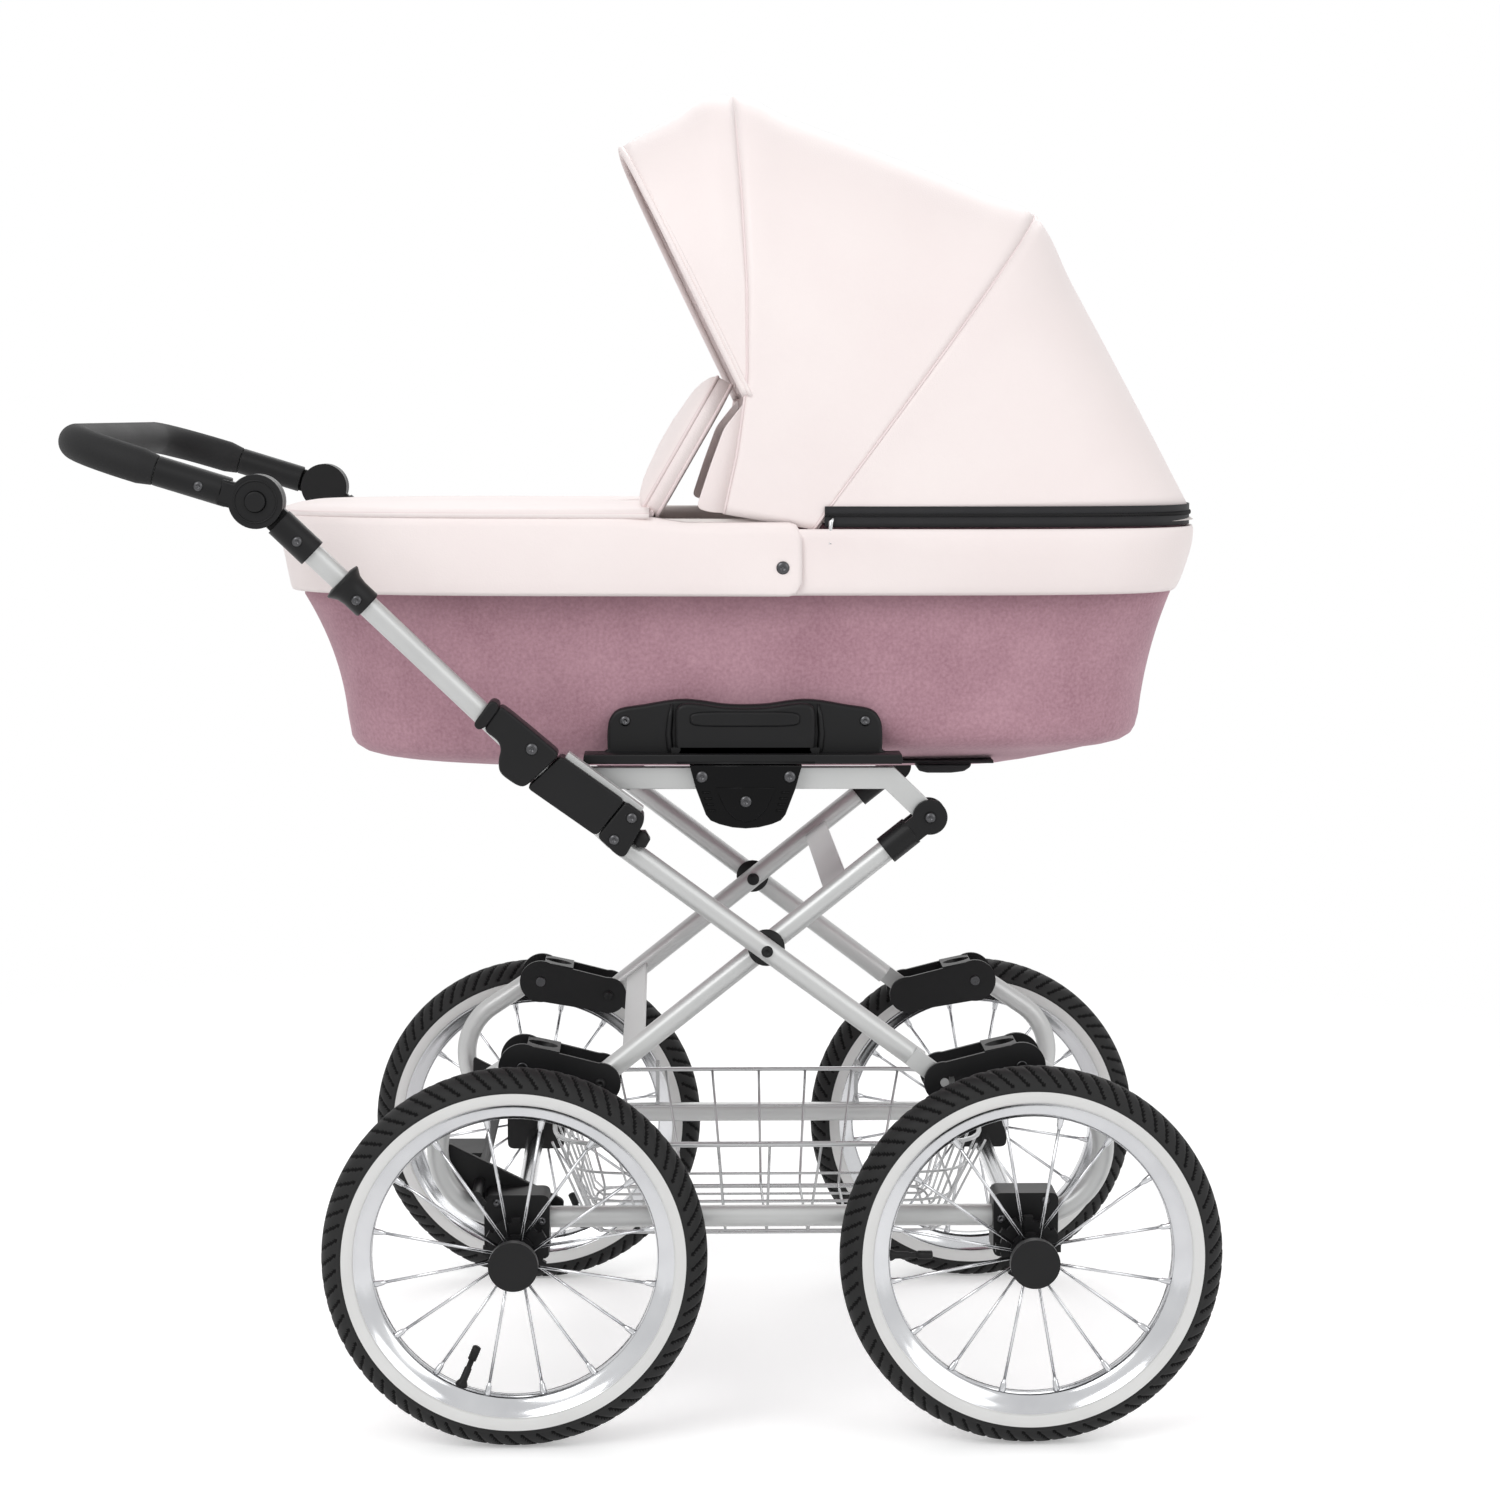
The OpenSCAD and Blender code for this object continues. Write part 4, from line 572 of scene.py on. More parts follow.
def both_sides(name, form, look, body, slot, *nodes):
    """One piece from the shapes that form(way) gives for the right and the left side."""
    shapes = [shape for way in SIDES.values() for shape in form(way)]
    put(solid_piece(name, shapes, M[look]), body, slot, *nodes)


# Outlines are (half width, height) pairs about HOLDER_X
HOLDER_X = -25.0
PANEL_HALF = [
    (124.5, 620.0), (126.0, 630.0), (126.2, 645.0), (124.0, 658.0), (115.0, 667.0), (92.0, 671.0),
    (70.0, 674.8), (54.0, 675.9), (38.0, 674.4), (20.0, 671.8), (0.0, 671.0),
]
COVER_HALF = [
    (58.0, 628.8), (63.2, 631.0), (64.2, 648.0), (63.0, 668.0), (54.0, 673.4), (38.0, 672.2), (20.0, 669.6),
    (0.0, 668.8),
]
SOCKET_HALF = [
    (51.0, 618.2), (45.6, 597.3), (36.4, 573.0), (32.0, 567.6), (24.0, 564.2), (12.0, 561.2), (0.0, 560.2),
]
SHIELD_HALF = [(27.0, 598.0), (22.5, 586.0), (17.5, 576.5), (10.0, 569.0), (0.0, 566.0)]
RIDGE_LINE = [(67.0, 672.0), (68.6, 660.0), (70.0, 645.0), (69.0, 632.0), (66.5, 622.0)]
RIDGE_R = [1.4, 2.8, 3.2, 3.2, 2.6]
PANEL_IN, PANEL_OUT = 187.0, 201.4
SHELF = (-172.0, 117.5, 618.9, 627.6)
SHELF_IN, SHELF_OUT = 189.0, 222.5
POCKET_IN, POCKET_OUT, SOCKET_IN, SOCKET_OUT = 217.5, 223.0, 213.6, 227.0
SOCKET_WALL, SOCKET_WAIST, TONGUE_PLAY = 3.6, 600.0, 0.6
RIBS, RIB_R, RIB_LOW, RIB_PITCH, RIB_START, RIB_LONG, RIB_STEP = 4, 0.9, 577.0, 5.5, 27.5, 7.5, 1.6
LEDGE = [(199.0, 626.8), (212.5, 626.8), (224.0, 620.4), (224.0, 618.9), (199.0, 618.9)]
LEDGE_HALF = 63.0
LEVER_IN, LEVER_OUT, PULL_IN, PULL_OUT = 202.3, 211.0, 209.0, 213.0
PULL_REAR, PULL_FRONT, PULL_HALF, PULL_Z = 51.0, 50.0, 7.0, 659.0


def ledge(x0, x1, section, way):
    """A bar along X with a cross-section in Y and Z, for the side that way names."""
    points = [at(x, way * y, z) for x in (x0, x1) for y, z in section]
    count = len(section)
    ends = [tuple(range(count)), tuple(range(count, 2 * count))]
    return points, grid_faces(2, count, False, True) + ends


def drawn_in(half, margin):
    """A pocket's outline drawn in by a margin, and up by it below the waist."""
    return [(max(0.0, w - margin), z + (margin if z < SOCKET_WAIST else 0)) for w, z in half]


def holder_panel(way):
    """The tub's bracket: a panel with a waved top, two ridges, a shelf and the tongue below it."""
    x0, x1, z0, z1 = SHELF
    shelf = [(x0, z0), (x1, z0), (x1 + 1, (z0 + z1) / 2), (x1, z1), (x0, z1), (x0 - 1, (z0 + z1) / 2)]
    panel = both_halves(HOLDER_X, PANEL_HALF)
    tongue = both_halves(HOLDER_X, drawn_in(SOCKET_HALF, SOCKET_WALL + TONGUE_PLAY))
    shapes = [
        cushion(smooth_ring(panel), way * PANEL_IN, way * PANEL_OUT, soft=3.4),
        cushion(shelf, way * SHELF_IN, way * SHELF_OUT, soft=1.2),
        cushion(tongue, way * (POCKET_IN + 0.3), way * (POCKET_OUT - 0.3), soft=0.6),
        ledge(HOLDER_X - LEDGE_HALF, HOLDER_X + LEDGE_HALF, rounded_corners(LEDGE, 1.2), way),
    ]
    for side in (-1, 1):
        path = [at(HOLDER_X + side * w, way * PANEL_OUT, z) for w, z in RIDGE_LINE]
        shapes.append(tube_shape(path, RIDGE_R, 12))
    return shapes


def socket_form(way):
    """Pocket plate on the rail: front, back and a wall between them that is open at the top."""
    outer = both_halves(HOLDER_X, SOCKET_HALF)
    inner = both_halves(HOLDER_X, drawn_in(SOCKET_HALF, SOCKET_WALL))
    shield = both_halves(HOLDER_X, SHIELD_HALF)
    shapes = [
        cushion(outer, way * SOCKET_IN, way * POCKET_IN, soft=0.8),
        cushion(outer[::-1] + inner, way * (POCKET_IN - 0.5), way * (POCKET_OUT + 0.5), soft=0.3, steps=2),
        cushion(outer, way * POCKET_OUT, way * SOCKET_OUT, soft=1.6),
        cushion(shield, way * (SOCKET_OUT - 1), way * (SOCKET_OUT + 1.2), soft=1.0),
    ]
    for side in (-1, 1):
        for k in range(RIBS):
            start = RIB_START + RIB_STEP * k
            ends = [HOLDER_X + side * w for w in (start, start + RIB_LONG)]
            rib = [at(x, way * (SOCKET_OUT + 0.1), RIB_LOW + RIB_PITCH * k) for x in ends]
            shapes.append(tube_shape(rib, RIB_R, 8))
    return shapes


def lever_cover(way):
    """Wide release lever with a long rib to pull on."""
    cover = smooth_ring(both_halves(HOLDER_X, COVER_HALF))
    pull = oval(HOLDER_X - PULL_REAR, HOLDER_X + PULL_FRONT, PULL_HALF, 64, power=5.0) + [0.0, PULL_Z]
    return [
        cushion(cover, way * LEVER_IN, way * LEVER_OUT, soft=4.0),
        cushion(pull, way * PULL_IN, way * PULL_OUT, soft=2.6),
    ]


CASE_UPPER = [(-222.6, 602.4), (-191.6, 631.2), (-134.6, 590.2), (-160.4, 558.4)]
CASE_LOWER = [
    (-159.8, 557.9), (-134.0, 589.7), (-117.0, 577.4), (-117.6, 570.0), (-134.4, 539.2), (-141.0, 540.2),
]
CASE_IN, CASE_OUT = 229.8, 263.4
CASE_KNOB = (-120.0, 554.0)
KNOB_PROFILE = [(AXIS_R, 236), (7.0, 236), (8.2, 238), (8.2, 254), (6.6, 256), (AXIS_R, 256)]
TRIGGER_LINE = [
    (-224.0, 603.0), (-232.0, 605.0), (-247.0, 616.0), (-247.6, 628.0), (-245.0, 637.0), (-247.6, 645.0),
    (-261.5, 655.0), (-246.0, 677.0), (-239.0, 672.2), (-216.0, 653.2), (-191.8, 632.6),
]
TRIGGER_LIP = [
    (-269.6, 660.2), (-265.6, 654.6), (-258.6, 657.4), (-246.4, 674.0), (-247.2, 679.2), (-254.0, 681.6),
]
TRIGGER_IN, TRIGGER_OUT = 236.0, 267.4
TRIGGER_SCREW = (-217.6, 637.7)


def lock_case_form(way):
    """The lock's case in two halves, with a knob below it."""
    return [
        cushion(rounded_corners(CASE_UPPER, 5.0), way * CASE_IN, way * CASE_OUT, soft=2.0),
        cushion(rounded_corners(CASE_LOWER, 5.0), way * CASE_IN, way * (CASE_OUT - 0.5), soft=2.0),
        turned(*CASE_KNOB, KNOB_PROFILE, way, 6),
    ]


def trigger_form(way):
    """The sliding trigger and its finger lip."""
    lip_in, lip_out = way * (TRIGGER_IN - 2.0), way * (TRIGGER_OUT + 2.4)
    return [
        cushion(rounded_corners(TRIGGER_LINE, 7.0), way * TRIGGER_IN, way * TRIGGER_OUT, soft=3.0),
        cushion(rounded_corners(TRIGGER_LIP, 4.0), lip_in, lip_out, soft=2.2),
    ]


HANDLE_BEND, HANDLE_SLOPE = (-141.55, 550.93), 44.2
HANDLE_Y, HANDLE_SPREAD = 242.9, 0.07
CUFF_RUN = [308.0, 309.5, 324.0, 331.0, 335.5, 338.0, 339.6, 341.0]
CUFF_R = [12.4, 13.4, 13.4, 14.6, 17.4, 19.0, 18.8, 13.0]


def on_handle(run, way):
    """A point on an upper handle tube at a distance from its bend."""
    a = math.radians(HANDLE_SLOPE)
    x, z = HANDLE_BEND[0] - run * math.cos(a), HANDLE_BEND[1] + run * math.sin(a)
    return at(x, way * (HANDLE_Y + HANDLE_SPREAD * run), z)


def cuff_form(way):
    """The collar round an upper handle tube."""
    return [tube_shape([on_handle(run, way) for run in CUFF_RUN], CUFF_R, 28)]


SCISSOR, REAR_FOOT = (-5.5, 449.0), (-158.0, 326.5)
BOLT_R = 3.9
BOLT_DISC = [(AXIS_R, 217.7), (16.4, 217.7), (17.0, 218.4), (17.0, 220.0), (16.4, 220.7), (AXIS_R, 220.7)]
BOLT_NUT = [(AXIS_R, 193.6), (4.6, 193.6), (6.4, 195.0), (6.4, 197.6), (AXIS_R, 197.6)]


def bolt_form(way):
    """Dark discs between the tubes, with a bolt through both, and the bolt of the rear foot."""
    return [
        turned(*SCISSOR, BOLT_DISC, way),
        turned(*SCISSOR, BOLT_NUT, way),
        pin(*SCISSOR, BOLT_R, start=196, end=241, way=way),
        screw(*SCISSOR, 241.2, way, radius=5.4),
        screw(*REAR_FOOT, 237.8, way, radius=5.0),
        pin(*REAR_FOOT, BOLT_R, start=188, end=238, way=way),
        pin(*REAR_FOOT, 5.0, start=187, end=189.2, way=way, steps=20),
    ]


GUSSET_IN, GUSSET_OUT = 188.6, 195.4
GUSSET = [
    (-300.5, 261.7), (-292.2, 257.0), (-192.0, 206.0), (-194.9, 194.5), (-261.9, 199.6), (-289.7, 217.9),
    (-300.7, 241.7),
]


def gusset_form(way):
    """Plate from the rear axle's bracket up to the bent tube."""
    return [cushion(rounded_corners(GUSSET, 5.0), way * GUSSET_IN, way * GUSSET_OUT, soft=1.2)]


both_sides("bracket_panels", holder_panel, "black", "tub", "black_plastic", "tub_brackets")
both_sides("rail_sockets", socket_form, "gloss", "top_rail", "black_plastic", "tub_sockets")
both_sides("case_shells", lock_case_form, "black", "handle_frame", "black_plastic", "lock_cases")
both_sides("axle_gussets", gusset_form, "black", "base", "black_plastic")
both_sides("tube_cuffs", cuff_form, "black", "handle_frame", "black_plastic", "tube_collars")
both_sides("scissor_bolts", bolt_form, "black", "cross_frame", "grey_plastic", "frame_bolts")
for side, way in SIDES.items():
    cover = solid_piece(f"lever_cover_{side}", lever_cover(way), M["black"])
    put(cover, f"lever_{side}", "grey_plastic", f"release_lever_{side}")
    trigger = solid_piece(f"trigger_shell_{side}", trigger_form(way), M["black"])
    put(trigger, f"trigger_{side}", "black_plastic", f"lock_trigger_{side}")
    heads = [screw(*TRIGGER_SCREW, TRIGGER_OUT, way, radius=5.6)]
    put(solid_piece(f"trigger_screw_{side}", heads, M["steel"]), f"trigger_{side}", "bright_metal")


def screw_heads(name, body, places, *nodes):
    """Screw heads on both sides from (x, z, face, radius) places."""
    def heads(way):
        return [screw(x, z, face, way, r) for x, z, face, r in places]

    both_sides(name, heads, "steel", body, "bright_metal", *nodes)


AXLE_SCREWS = [(end * x, z, 232.0, 4.0) for end in (-1, 1) for x, z in ((212, 197), (253, 214))]
SOCKET_SCREWS = [
    (-65.0, 607.8, SOCKET_OUT, 5.6), (15.0, 607.8, SOCKET_OUT, 5.6), (-25.0, 585.2, SOCKET_OUT + 1.2, 5.6),
]
screw_heads("axle_screws", "base", AXLE_SCREWS)
screw_heads("panel_screws", "tub", [(HOLDER_X + w, 656.5, PANEL_OUT, 5.0) for w in (-110.0, 110.0)])
screw_heads("socket_heads", "top_rail", SOCKET_SCREWS, "socket_screws")
screw_heads("case_screws", "handle_frame", [(-128.4, 574.8, 262.9, 5.0), (-144.3, 555.2, 262.9, 5.0)])
screw_heads("cuff_screws", "handle_frame", [(-371.1, 771.5, 278.4, 4.6), (-422.2, 823.4, 283.4, 4.6)])
screw_heads("arm_screws", "handle", [(-507.5, 872.0, 286.8, 4.4)])


KNUCKLE = (-457.7, 858.4)
NECK_START, NECK_END, NECK_HALF = 10.0, 33.0, 11.5
NECKS = [
    ("arm_necks", "handle", (-0.965, 0.263), 274.2, 286.5),
    ("tube_necks", "handle_frame", (0.717, -0.697), 261.0, 273.2),
]
KNUCKLE_RING_R, KNUCKLE_RING_Y, KNUCKLE_WIRE = 18.5, 287.6, 0.9


def neck(way, ahead, inner, outer):
    """Flat neck from a knuckle's disc to the arm or tube that it joins."""
    (cx, cz), (dx, dz) = KNUCKLE, ahead
    corners = [
        (NECK_START, -NECK_HALF), (NECK_END, -NECK_HALF), (NECK_END, NECK_HALF), (NECK_START, NECK_HALF)
    ]
    line = [(cx + dx * a - dz * w, cz + dz * a + dx * w) for a, w in corners]
    return cushion(rounded_corners(line, 2.0), way * inner, way * outer, soft=1.2)


def knuckle_ring(way):
    """Raised ring on a knuckle's outer face."""
    turns = np.linspace(0, 2 * math.pi, 49)[:-1]
    (x, z), r = KNUCKLE, KNUCKLE_RING_R
    path = [at(x + r * math.cos(a), way * KNUCKLE_RING_Y, z + r * math.sin(a)) for a in turns]
    return [tube_shape(path, KNUCKLE_WIRE, 8, closed=True)]


for name, body, ahead, inner, outer in NECKS:
    both_sides(name, lambda way: [neck(way, ahead, inner, outer)], "black", body, "black_plastic")
both_sides("knuckle_rings", knuckle_ring, "black", "handle", "black_plastic")
screw_heads("fork_screws", "cross_frame", [(144.19, 569.24, 221.0, 5.0)])
screw_heads("skirt_studs", "tub", [(8.2, 797.7, COLLAR_HALF + 3.6, 6.0)], "press_studs")


# Wheels: one tyre mesh and one rim mesh for all four

TYRE_MID, TYRE_HALF = 153.0, 22.0
TREAD_BLOCKS, TREAD_STEPS = 72, 8
TREAD_TURN, WALL_TURN, TREAD_DEPTH = 74.0, 112.0, 1.6
GROOVE_SLANT, GROOVE_BEND, GROOVE_HALF, GROOVE_EDGE = 1.15, 1.4, 0.16, 0.07
GROOVE_OUTER, GROOVE_INNER = 0.06, 0.1
WALL_RIDGE, RIDGE_FROM, RIDGE_TO = 0.9, 76, 81
WHITE_OUTER, BEAD_R, BEAD_Y = 155.5, 145.2, 13.0


def tread_cut(lean, turn):
    """Depth of the slanted grooves round the tyre at a lean from its middle, in degrees."""
    if abs(lean) >= TREAD_TURN:
        return np.zeros(len(turn))
    share = abs(lean) / TREAD_TURN
    shift = GROOVE_SLANT * share ** GROOVE_BEND + (0.5 if lean > 0 else 0.0)
    phase = (turn * TREAD_BLOCKS + shift) % 1.0
    groove = np.clip((GROOVE_HALF - np.abs(phase - 0.5)) / GROOVE_EDGE, 0, 1)
    ends = np.clip((1 - share) / GROOVE_OUTER, 0, 1) * np.clip(share / GROOVE_INNER, 0, 1)
    return TREAD_DEPTH * groove * ends


def tyre_mesh():
    """A tyre about its axle, with grooves over the tread and a white wall on each side; the grooves' faces
    take a darker rubber colour as painted shade.
    """
    steps = TREAD_BLOCKS * TREAD_STEPS
    turn = np.arange(steps) / steps
    wall = np.linspace(TREAD_TURN, WALL_TURN, 9)[1:]
    leans = np.concatenate([-wall[::-1], np.linspace(-TREAD_TURN, TREAD_TURN, 39), wall])

    def circle(radius, y):
        a = 2 * math.pi * turn
        return np.stack([radius * np.cos(a), y + 0 * a, radius * np.sin(a)], axis=1) / 1000

    rows, cuts = [circle(BEAD_R, -BEAD_Y)], [np.zeros(steps)]
    for lean in leans:
        cuts.append(tread_cut(lean, turn))
        out = TYRE_HALF + (WALL_RIDGE if RIDGE_FROM <= abs(lean) <= RIDGE_TO else 0.0) - cuts[-1]
        a = math.radians(lean)
        rows.append(circle(TYRE_MID + out * math.cos(a), out * math.sin(a)))
    rows.append(circle(BEAD_R, BEAD_Y))
    cuts.append(np.zeros(steps))
    leans = np.concatenate([[-180.0], leans, [180.0]])
    faces = grid_faces(len(rows), steps, False, True)
    data = mesh_data("tyre", np.concatenate(rows), faces, M["rubber"], M["whitewall"], M["groove"])
    which = []
    for row in range(len(rows) - 1):
        a = math.radians((leans[row] + leans[row + 1]) / 2)
        if TYRE_MID + TYRE_HALF * math.cos(a) < WHITE_OUTER:
            which += [1] * steps
        else:
            both = cuts[row] + cuts[row + 1]
            # the deep faces of the tread take the darker groove colour, painted shade
            which += [2 if deep > TREAD_DEPTH / 2 else 0 for deep in (both + np.roll(both, -1)) / 4]
    data.polygons.foreach_set("material_index", which)
    data.update()
    return data


RIM_PROFILE = [
    (129.3, 6.0), (130.2, 7.6), (133.0, 9.4), (138.0, 11.8), (142.5, 14.0), (144.6, 16.2), (146.2, 17.4),
    (147.6, 17.2), (148.2, 16.0), (147.6, 14.8), (145.6, 13.6), (141.0, 12.4),
]
SPOKES, SPOKE_R, SPOKE_LEAN, SPOKE_START = 16, 1.5, 9.0, 11.25
HUB_R, HUB_Y, HEAD_R, HEAD_Y = 17.0, 9.0, 130.5, 2.5
NIPPLE_RUN, NIPPLE_R = [0.0, 1.0, 9.0, 9.8, 12.5], [3.4, 3.4, 2.6, 1.9, 1.6]
VALVE_RUN = [131, 127, 124, 112, 111.5, 104, 103.5, 91, 90]
VALVE_R = [6.0, 5.4, 3.6, 3.4, 2.6, 2.6, 4.0, 4.0, 2.6]
VALVE_TURN, VALVE_TURN_SHOWN = 247.5, 180.0


def rim_mesh():
    """A rim with its spokes and their nipples, about its axle."""
    def place(radius, y, turn):
        return Vector((radius * math.cos(turn), y, radius * math.sin(turn))) / 1000

    profile = RIM_PROFILE + [(r, -y) for r, y in reversed(RIM_PROFILE)]
    shapes = [lathe_shape(profile, 96, closed=True)]
    for i in range(SPOKES):
        side = 1 if i % 2 == 0 else -1
        turn = math.radians(SPOKE_START + 360 / SPOKES * i)
        foot = place(HUB_R, side * HUB_Y, turn + math.radians(side * SPOKE_LEAN))
        head = place(HEAD_R, side * HEAD_Y, turn)
        shapes.append(tube_shape([foot, head], SPOKE_R, 8))
        ahead = (head - foot).normalized()
        shapes.append(tube_shape([head - ahead * (run / 1000) for run in NIPPLE_RUN], NIPPLE_R, 8))
    return mesh_data("rim", *joined(shapes), M["rim"], smooth_below=ALL_SMOOTH)


def valve_mesh(turn):
    """A valve that points at the axle, at a turn in degrees."""
    a = math.radians(turn)
    ahead = Vector((math.cos(a), 0, math.sin(a)))
    shape = tube_shape([ahead * run / 1000 for run in VALVE_RUN], VALVE_R, 12)
    return mesh_data("valve", *shape, M["black"], smooth_below=ALL_SMOOTH)


TYRE, RIM = tyre_mesh(), rim_mesh()
for end, sign in (("rear", -1), ("front", 1)):
    for side, way in SIDES.items():
        body = f"wheel_{end}_{side}"
        place = Matrix.Translation(at(sign * WHEEL_X, way * WHEEL_Y, WHEEL_Z))
        if way > 0:
            place = place @ Matrix.Rotation(math.pi, 4, "Z")
        valve = valve_mesh(VALVE_TURN_SHOWN if (end, side) == ("front", "right") else VALVE_TURN)
        for kind, data, slot, nodes in (
            ("tyre", TYRE, "tyre", [f"tyre_{end}_{side}"]),
            ("rim", RIM, "rim_metal", [f"rim_{end}_{side}"]),
            ("valve", valve, "black_plastic", []),
        ):
            piece = link_object(f"{kind}_shape_{end}_{side}", data)
            piece.matrix_world = place
            put(piece, body, slot, *nodes)
        softened(f"hub_{end}_{side}", M["black"], body, "black_plastic", width=1.2)


# Basket of round wire

BASKET_RIM_Z, BASKET_LOW_Z = 252.0, 147.0
BASKET_TOP, BASKET_BASE = (205.0, 168.0), (168.0, 92.0)
BASKET_POWER, BASKET_SHARES = 7.0, (0.0, 0.36, 0.68)
WIRE_R, RIM_WIRE_R, WIRE_PITCH = 1.3, 2.3, 46.0
HOOP_SHARES, HOOP_BEND, HOOP_MARGIN = [1.0, 0.66, 0.33, 0.06], 6, 8
BASKET_NODES = [
    "basket_floor", "basket_side_right", "basket_side_left", "basket_end_rear", "basket_end_front",
]


def basket_half(share):
    """Half length and half width of the basket at a share of its height."""
    return [low + (top - low) * share for low, top in zip(BASKET_BASE, BASKET_TOP)]


def basket_z(share):
    return BASKET_LOW_Z + (BASKET_RIM_Z - BASKET_LOW_Z) * share


def basket_loop(share, radius, sides):
    """A wire round the basket at a share of its height."""
    length, width = basket_half(share)
    ring = oval(-length, length, width, 96, power=BASKET_POWER)
    return tube_shape([at(x, y, basket_z(share)) for x, y in ring], radius, sides, closed=True)


def basket_hoop(place, axis):
    """A wire that runs down one side, over the floor and up the other side."""
    along = 1 - axis
    down = [(basket_half(s)[along], s) for s in HOOP_SHARES] + [(basket_half(0)[along] - HOOP_BEND, 0.0)]
    points = []
    for run, s in [(-run, s) for run, s in down] + down[::-1]:
        side = place * (basket_half(s)[axis] / BASKET_BASE[axis])
        x, y = (side, run) if axis == 0 else (run, side)
        points.append(at(x, y, basket_z(s)))
    return tube_shape(points, WIRE_R, 6)


def basket():
    shapes = [basket_loop(1.0, RIM_WIRE_R, 8)] + [basket_loop(share, WIRE_R, 6) for share in BASKET_SHARES]
    for axis in (0, 1):
        reach = BASKET_BASE[axis] - HOOP_MARGIN
        count = int(2 * reach / (WIRE_PITCH * BASKET_BASE[axis] / BASKET_TOP[axis])) + 1
        shapes += [basket_hoop(place, axis) for place in np.linspace(-reach, reach, count)]
    put(mesh_piece("wire_basket", *joined(shapes), M["wire"]), "base", "bright_metal", *BASKET_NODES)


basket()


# Tub: velvet shell, lining, mattress, collar and zip

RING = 160
REAR_LEAN, LEAN_LOW, LEAN_HIGH = 8.0, 650.0, 770.0
FLARE_POWER, REAR_FLARE, FRONT_FLARE, SIDE_FLARE = 2.2, (51, 0.7), (40, 0.8), (13, 0.75)
BELLY = [
    (599.0, 125.0), (601.4, 100.0), (604.4, 78.0), (607.6, 56.0), (610.6, 38.0), (613.6, 24.0), (617.6, 12.0),
    (623.0, 4.5), (630.0, 1.0),
]
BELLY_LIFT, BELLY_WIDE, BELLY_FROM, BELLY_TO = 11.0, 87.0, -270.0, 110.0
VELVET_LOW, VELVET_TOP = 652, 836
LINING_LOW, LINING_TOP, LINING_INSET = 640, 834, 12
LINING_EDGE = [(8, 839.5), (3, 841.0), (-6, 841.2), (-11, 838)]
MATTRESS_SIDE = [(0.0, 72.0), (0.2, 44.0), (0.4, 21.0), (0.58, 6.0), (0.72, 0.5), (0.86, 2.5), (0.97, 8.0)]
MATTRESS_TOP = [(30.0, -0.15), (60.0, 0.3), (100.0, 0.5)]
MATTRESS_GAP, MATTRESS_LIFT, MATTRESS_LEVEL = 15.0, 0.6, TUB_FLOOR + 30


def part_way(value, start, end):
    """How far a value lies between two others, from 0 to 1."""
    return min(1.0, max(0.0, (value - start) / (end - start)))


def flare(z, size, full):
    """How far a side of the tub is drawn in at a height, down from a full share of its height."""
    return size * (1 - part_way(z, TUB_FLOOR, TUB_FLOOR + full * (TUB_RIM - TUB_FLOOR)) ** FLARE_POWER)


def tub_ring(z, inset=0.0):
    """Plan outline of the tub's outside at a height, drawn in by an inset."""
    rear = TUB_REAR + flare(z, *REAR_FLARE) + REAR_LEAN * part_way(z, LEAN_LOW, LEAN_HIGH) + inset
    front = TUB_FRONT - flare(z, *FRONT_FLARE) - inset
    return oval(rear, front, TUB_HALF - flare(z, *SIDE_FLARE) - inset, RING)


def loft(rings):
    """Rows of row-frame points from (outline, height) pairs."""
    return [[at(x, y, z) for x, y in ring] for ring, z in rings]


def belly_lift(x, inset):
    """Rise of the tub's padded underside towards the hood, none in its middle."""
    share = part_way(x, BELLY_FROM, BELLY_TO)
    soft = share * share * (3 - 2 * share)
    return BELLY_LIFT * soft * min(1.0, (BELLY[0][1] - inset) / BELLY_WIDE)


def tub():
    """The velvet shell and the lining that turns over its rim."""
    rows = [[at(x, y, z + belly_lift(x, inset)) for x, y in tub_ring(z, inset)] for z, inset in BELLY]
    rows += loft([(tub_ring(z), z) for z in np.linspace(VELVET_LOW, VELVET_TOP, 22)])
    piece = capped("tub_velvet", rows, M["velvet"], 0)
    thicken(piece, 3.0)
    put(piece, "tub", "velvet", "tub_shell")
    rings = [(tub_ring(z, LINING_INSET), z) for z in np.linspace(LINING_LOW, LINING_TOP, 14)]
    rings += [(tub_ring(VELVET_TOP, inset), z) for inset, z in LINING_EDGE]
    lining = grid_piece("tub_lining", loft(rings), M["cotton"], wrap_columns=True)
    put(lining, "tub", "mattress_cloth")


def mattress():
    low, top = [corner.z * 1000 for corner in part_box("mattress")]
    low += MATTRESS_LIFT
    rings = [(inset, low + (top - low) * share) for share, inset in MATTRESS_SIDE]
    rings += [(inset, top - drop) for inset, drop in MATTRESS_TOP]
    rows = loft([(tub_ring(MATTRESS_LEVEL, MATTRESS_GAP + inset), z) for inset, z in rings])
    piece = capped("mattress_pad", rows, M["cotton"], -1, 0)
    put(piece, "tub", "mattress_cloth", "mattress")


FINE = 2400
COLLAR_SECTION = [
    (-9.0, 829.0), (-5.0, 832.2), (-1.6, 832.5), (0.0, 829.5), (0.6, 823.0), (0.8, 815.0), (0.6, 806.0),
    (0.2, 797.0), (-0.4, 789.0), (-1.4, 781.0), (-2.8, 775.5), (-5.0, 772.2), (-8.0, 773.5), (-9.0, 778.0),
]
COLLAR_WAVE, WAVE_TOP, WAVE_FULL = 1.9, 831.0, 817.0
FRONT_TAPER, REAR_TAPER, TAPER_RUN = 16.0, 12.0, 90


def collar_ring(out, count=240):
    return oval(COLLAR_REAR - out, COLLAR_FRONT + out, COLLAR_HALF + out, count)


